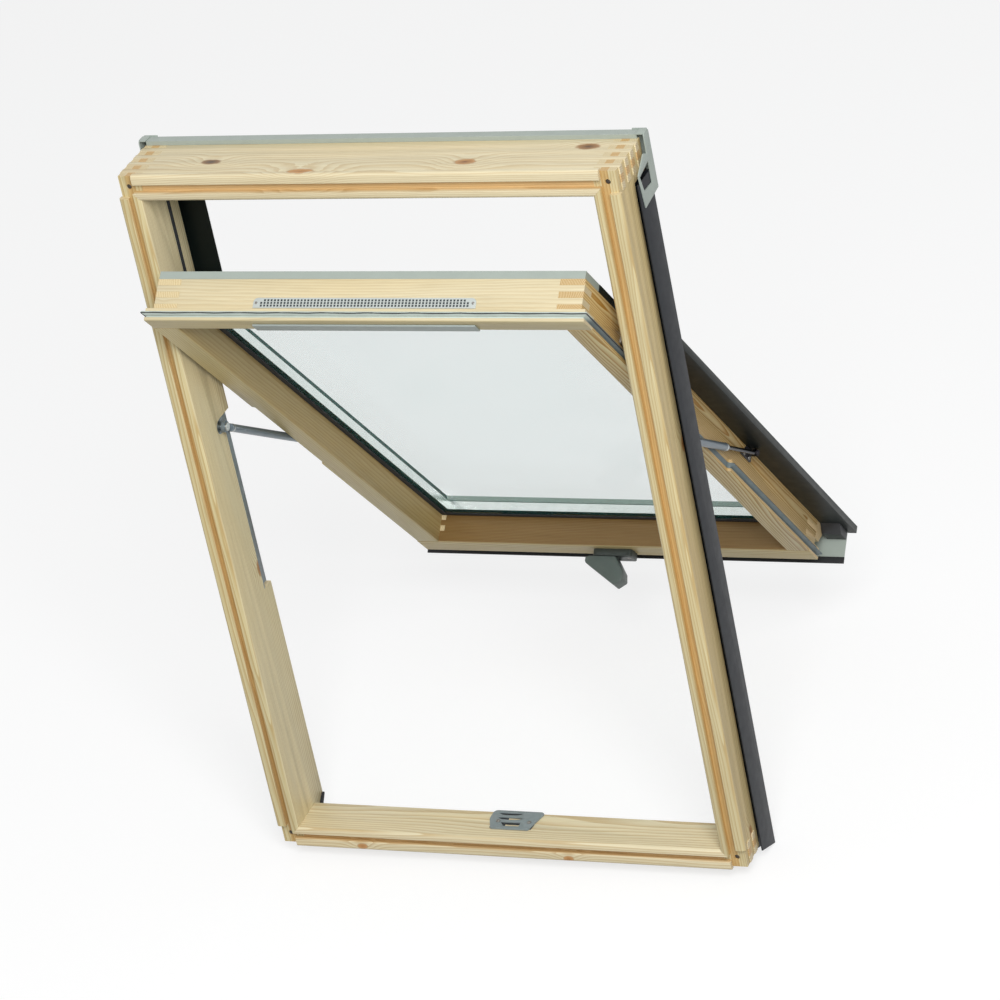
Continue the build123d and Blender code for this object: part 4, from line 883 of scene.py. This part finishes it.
class SKYLIGHT_OT_vent(bpy.types.Operator):
    """Grille on the sash's top face and the flap on its room face"""
    bl_idname = "skylight.vent"
    bl_label = "Vent"

    def execute(self, context):
        settings = context.scene.skylight_fittings
        pale = painted("grille_grey", (0.52, 0.56, 0.54), 0.42, 0.04)
        self.grille(settings.slots, pale)
        rounded("vent_flap", painted("flap_grey", (0.36, 0.41, 0.39), 0.4, 0.04), 0.8, 3)
        return {"FINISHED"}

    def grille(self, columns, material):
        """Plate with three rows of small slots, and the dark mesh under it."""
        half, near, far, corner, steps = 175.0, 21.6, 37.5, 7, 6
        reach, rows, border, end_gap = 165.0, 3, 1.8, 3
        ledge, thickness = 7.4, 1.6
        edge = [(-half, near), (half, near)]
        for sign, turns in ((1, range(steps + 1)), (-1, range(steps, -1, -1))):
            for index in turns:
                turn = math.pi / 2 * index / steps
                edge.append((sign * (half - corner + corner * math.cos(turn)),
                             far - corner + corner * math.sin(turn)))
        pitch = 2 * reach / columns
        row_pitch = (far - near - 2 * border) / rows
        wide = pitch * 0.31
        tall = row_pitch * 0.38
        outlines = [edge]
        for row in range(rows):
            v = near + border + (row + 0.5) * row_pitch
            for column in range(columns):
                u = -reach + (column + 0.5) * pitch
                if row == rows - 1 and abs(u) > reach - end_gap:
                    continue
                outlines.append([(u - wide, v - tall), (u - wide, v + tall),
                                 (u + wide, v + tall), (u + wide, v - tall)])
        top = SASH_TOP - ledge + thickness / 2
        pose = SASH_POSE @ Matrix.Translation((0, FACE_Y * MM, top * MM))
        mesh = plate_mesh("vent_grille_dressed", outlines, thickness, 0.18, pose)
        named_piece("vent_grille_dressed", mesh, "sash", material, ("vent_grille",))
        rim = [(-half + 5, near + 1), (half - 5, near + 1), (half - 5, far - 1.5), (-half + 5, far - 1.5)]
        pose = SASH_POSE @ Matrix.Translation((0, FACE_Y * MM, (SASH_TOP - ledge + 0.2) * MM))
        mesh = plate_mesh("grille_mesh", [rim], 0.4, 0.05, pose)
        named_piece("grille_mesh", mesh, "sash", rubber("mesh_dark", (0.035, 0.045, 0.05)))


class SKYLIGHT_OT_handle(bpy.types.Operator):
    """Handle, its base and bolt, and the striker on the frame"""
    bl_idname = "skylight.handle"
    bl_label = "Handle And Striker"

    def execute(self, context):
        settings = context.scene.skylight_fittings
        lacquer = painted("handle_lacquer", settings.handle, 0.36, 0.05, 0.1)
        grip = painted("grip_lacquer", tuple(2.6 * c for c in settings.handle), 0.4, 0.05, 0.1)
        grey = painted("striker_grey", settings.grey, 0.42, 0.04)
        zinc = plated("bolt_zinc", (0.55, 0.56, 0.55), 0.3)
        rounded("handle_base", lacquer, 1.2, 3)
        rounded("handle_lever", grip, 1.4, 3)
        rounded("latch_bolt", zinc, 0.3)
        self.striker(grey)
        return {"FINISHED"}

    def striker(self, material):
        """Slanting plate with the bolt's catches, two long curved slots, and dark pockets below."""
        centre, plate_level, liner_level, floor_level, steps = 52, 37.25, 36.3, 31.0, 12
        edge = round_corners([(-33, 12.2), (31, 12.2), (37, 36), (43, 56), (39, 61), (-39, 61), (-43, 56),
                              (-43, 38)], 3.0)
        catch = round_corners([(-13.5, 20), (12.2, 20), (12.2, 30.5), (-22, 30.5)], 1.2)
        long_slots = []
        for middle, low, high in ((40.2, -31.0, 12.4), (52.0, -33.0, 9.0)):
            front = []
            back = []
            for step in range(steps + 1):
                share = step / steps
                bow = 1.6 * (2 * share - 1) ** 2
                taper = 3.2 * min(1.0, 5 * share, 5 * (1 - share)) + 0.3
                x = low + (high - low) * share
                front.append((x, middle - taper + bow))
                back.append((x, middle + min(taper, 2.6) + bow))
            long_slots.append(front + back[::-1])
        outlines = [[(x, y - centre) for x, y in loop] for loop in [edge, catch] + long_slots]
        mesh = plate_mesh("striker_dressed", outlines, 2.5, 0.6, Matrix.Translation((0, 0, plate_level * MM)))
        named_piece("striker_dressed", mesh, "frame", material, ("striker_plate",))
        pockets = [[(-12, low), (12, low), (12, high), (-12, high)] for low, high in ((20, 26), (37, 43))]
        rim = [(-36, 16), (34, 16), (38, 58), (-38, 58)]
        outlines = [[(x, y - centre) for x, y in loop] for loop in [rim] + pockets]
        mesh = plate_mesh("striker_liner", outlines, 0.5, 0.05, Matrix.Translation((0, 0, liner_level * MM)))
        black = rubber("liner_black", (0.02, 0.022, 0.024))
        named_piece("striker_liner", mesh, "frame", black)
        for name, low in (("closed_catch_floor", 20.2), ("ajar_catch_floor", 37.2)):
            near, far = low - centre, low - centre + 5.6
            floor = [(-11.8, near), (11.8, near), (11.8, far), (-11.8, far)]
            mesh = plate_mesh(name, [floor], 0.6, 0.05, Matrix.Translation((0, 0, floor_level * MM)))
            named_piece(name, mesh, "frame", black)


class SKYLIGHT_OT_fasteners(bpy.types.Operator):
    """Heads of all the screws"""
    bl_idname = "skylight.fasteners"
    bl_label = "Fasteners"

    def execute(self, context):
        steel = plated("screw_steel", (0.30, 0.29, 0.27), 0.35)
        dark = plated("corner_screw_steel", (0.10, 0.085, 0.07), 0.4)
        screws("frame_corner_screws", dark)
        for node in ("frame_hinge_screws", "striker_screws", "sash_hinge_screws",
                     "strut_bracket_screws", "vent_screws", "handle_screws"):
            screws(node, steel)
        return {"FINISHED"}


class SKYLIGHT_OT_stage(bpy.types.Operator):
    """Pale floor, soft lamp and the photograph's camera"""
    bl_idname = "skylight.stage"
    bl_label = "Stage"

    def execute(self, context):
        settings = context.scene.skylight_stage
        self.floor()
        self.world(settings.ambient)
        self.lamp("key_lamp", (2.4, -4.0, 4.6), (0, 0.1, 0.6), 3.0, settings.key)
        data = bpy.data.cameras.new("photo_camera")
        data.lens = CAMERA_LENS
        data.sensor_width = 36.0
        data.clip_end = 60.0
        camera = bpy.data.objects.new("photo_camera", data)
        turn = Matrix.Rotation(CAMERA_TURN.length, 3, CAMERA_TURN)
        pose = Matrix((turn[0], -turn[1], -turn[2])).transposed().to_4x4()
        camera.matrix_world = Matrix.Translation(CAMERA_PLACE) @ pose
        context.scene.collection.objects.link(camera)
        context.scene.camera = camera
        context.scene.view_settings.view_transform = "Standard"
        return {"FINISHED"}

    def floor(self):
        """Matt floor that takes shadows and runs into the white behind it."""
        work = bmesh.new()
        reach = 14.0
        level = cad_box[0][2] - 0.0005
        bmesh.ops.create_grid(work, x_segments=2, y_segments=2, size=reach)
        bmesh.ops.translate(work, verts=work.verts, vec=(0, 0, level))
        mesh = bpy.data.meshes.new("studio_floor")
        work.to_mesh(mesh)
        work.free()
        g = Graph("floor_paint")
        g.shader.inputs["Base Color"].default_value = (0.36, 0.36, 0.36, 1.0)
        g.shader.inputs["Roughness"].default_value = 0.9
        shown = g.add("ShaderNodeBsdfDiffuse")
        shown.inputs["Color"].default_value = (0.34, 0.34, 0.34, 1.0)
        glow = g.add("ShaderNodeEmission")
        glow.inputs["Strength"].default_value = 0.70
        both = g.add("ShaderNodeAddShader")
        g.join(shown.outputs[0], both.inputs[0])
        g.join(glow.outputs[0], both.inputs[1])
        pick = g.add("ShaderNodeMixShader")
        g.join(background_rays(g.tree), pick.inputs[0])
        g.join(g.shader.outputs[0], pick.inputs[1])
        g.join(both.outputs[0], pick.inputs[2])
        g.join(pick.outputs[0], g.output.inputs[0])
        floor = bpy.data.objects.new("studio_floor", mesh)
        mesh.materials.append(g.material)
        bpy.context.scene.collection.objects.link(floor)

    def world(self, ambient):
        """White where the background shows, and even light from all round elsewhere."""
        world = bpy.data.worlds.new("studio_world")
        world.use_nodes = True
        tree = world.node_tree
        tree.nodes.clear()
        output = tree.nodes.new("ShaderNodeOutputWorld")
        pick = tree.nodes.new("ShaderNodeMixShader")
        tree.links.new(background_rays(tree), pick.inputs[0])
        shades = (((0.98, 0.99, 1.0, 1.0), ambient), ((1.0, 1.0, 1.0, 1.0), 1.0))
        for socket, (colour, strength) in zip(pick.inputs[1:], shades):
            light = tree.nodes.new("ShaderNodeBackground")
            light.inputs["Color"].default_value = colour
            light.inputs["Strength"].default_value = strength
            tree.links.new(light.outputs[0], socket)
        tree.links.new(pick.outputs[0], output.inputs[0])
        bpy.context.scene.world = world

    def lamp(self, name, place, target, size, power):
        data = bpy.data.lights.new(name, "AREA")
        data.shape = "SQUARE"
        data.size = size
        data.energy = power
        lamp = bpy.data.objects.new(name, data)
        lamp.location = place
        run = Vector(target) - Vector(place)
        lamp.rotation_euler = run.to_track_quat("-Z", "Y").to_euler()
        bpy.context.scene.collection.objects.link(lamp)


class SKYLIGHT_PT_panel(bpy.types.Panel):
    """Lists the window's pieces"""
    bl_label = "Roof Window"
    bl_idname = "SKYLIGHT_PT_panel"
    bl_space_type = "VIEW_3D"
    bl_region_type = "UI"
    bl_category = "Roof Window"

    def draw(self, context):
        for operator in OPERATORS:
            self.layout.operator(operator.bl_idname)
        for name in GROUPS:
            box = self.layout.box()
            group = getattr(context.scene, name)
            for key in group.__annotations__:
                box.prop(group, key)


GROUPS = {
    "skylight_wood": SKYLIGHT_PG_wood,
    "skylight_sheet": SKYLIGHT_PG_sheet,
    "skylight_glass": SKYLIGHT_PG_glass,
    "skylight_fittings": SKYLIGHT_PG_fittings,
    "skylight_stage": SKYLIGHT_PG_stage,
}

OPERATORS = (
    SKYLIGHT_OT_frame_wood,
    SKYLIGHT_OT_sash_wood,
    SKYLIGHT_OT_sheet_covers,
    SKYLIGHT_OT_glazing,
    SKYLIGHT_OT_seals,
    SKYLIGHT_OT_hinges,
    SKYLIGHT_OT_struts,
    SKYLIGHT_OT_vent,
    SKYLIGHT_OT_handle,
    SKYLIGHT_OT_fasteners,
    SKYLIGHT_OT_stage,
)


def register():
    for name, group in GROUPS.items():
        bpy.utils.register_class(group)
        setattr(bpy.types.Scene, name, PointerProperty(type=group))
    for operator in OPERATORS:
        bpy.utils.register_class(operator)
    bpy.utils.register_class(SKYLIGHT_PT_panel)


def unregister():
    bpy.utils.unregister_class(SKYLIGHT_PT_panel)
    for operator in reversed(OPERATORS):
        bpy.utils.unregister_class(operator)
    for name, group in GROUPS.items():
        delattr(bpy.types.Scene, name)
        bpy.utils.unregister_class(group)


def main():
    register()
    bpy.ops.skylight.frame_wood()
    bpy.ops.skylight.sash_wood()
    bpy.ops.skylight.sheet_covers()
    bpy.ops.skylight.glazing()
    bpy.ops.skylight.seals()
    bpy.ops.skylight.hinges()
    bpy.ops.skylight.struts()
    bpy.ops.skylight.vent()
    bpy.ops.skylight.handle()
    bpy.ops.skylight.fasteners()
    bpy.ops.skylight.stage()


if __name__ == "__main__":
    main()
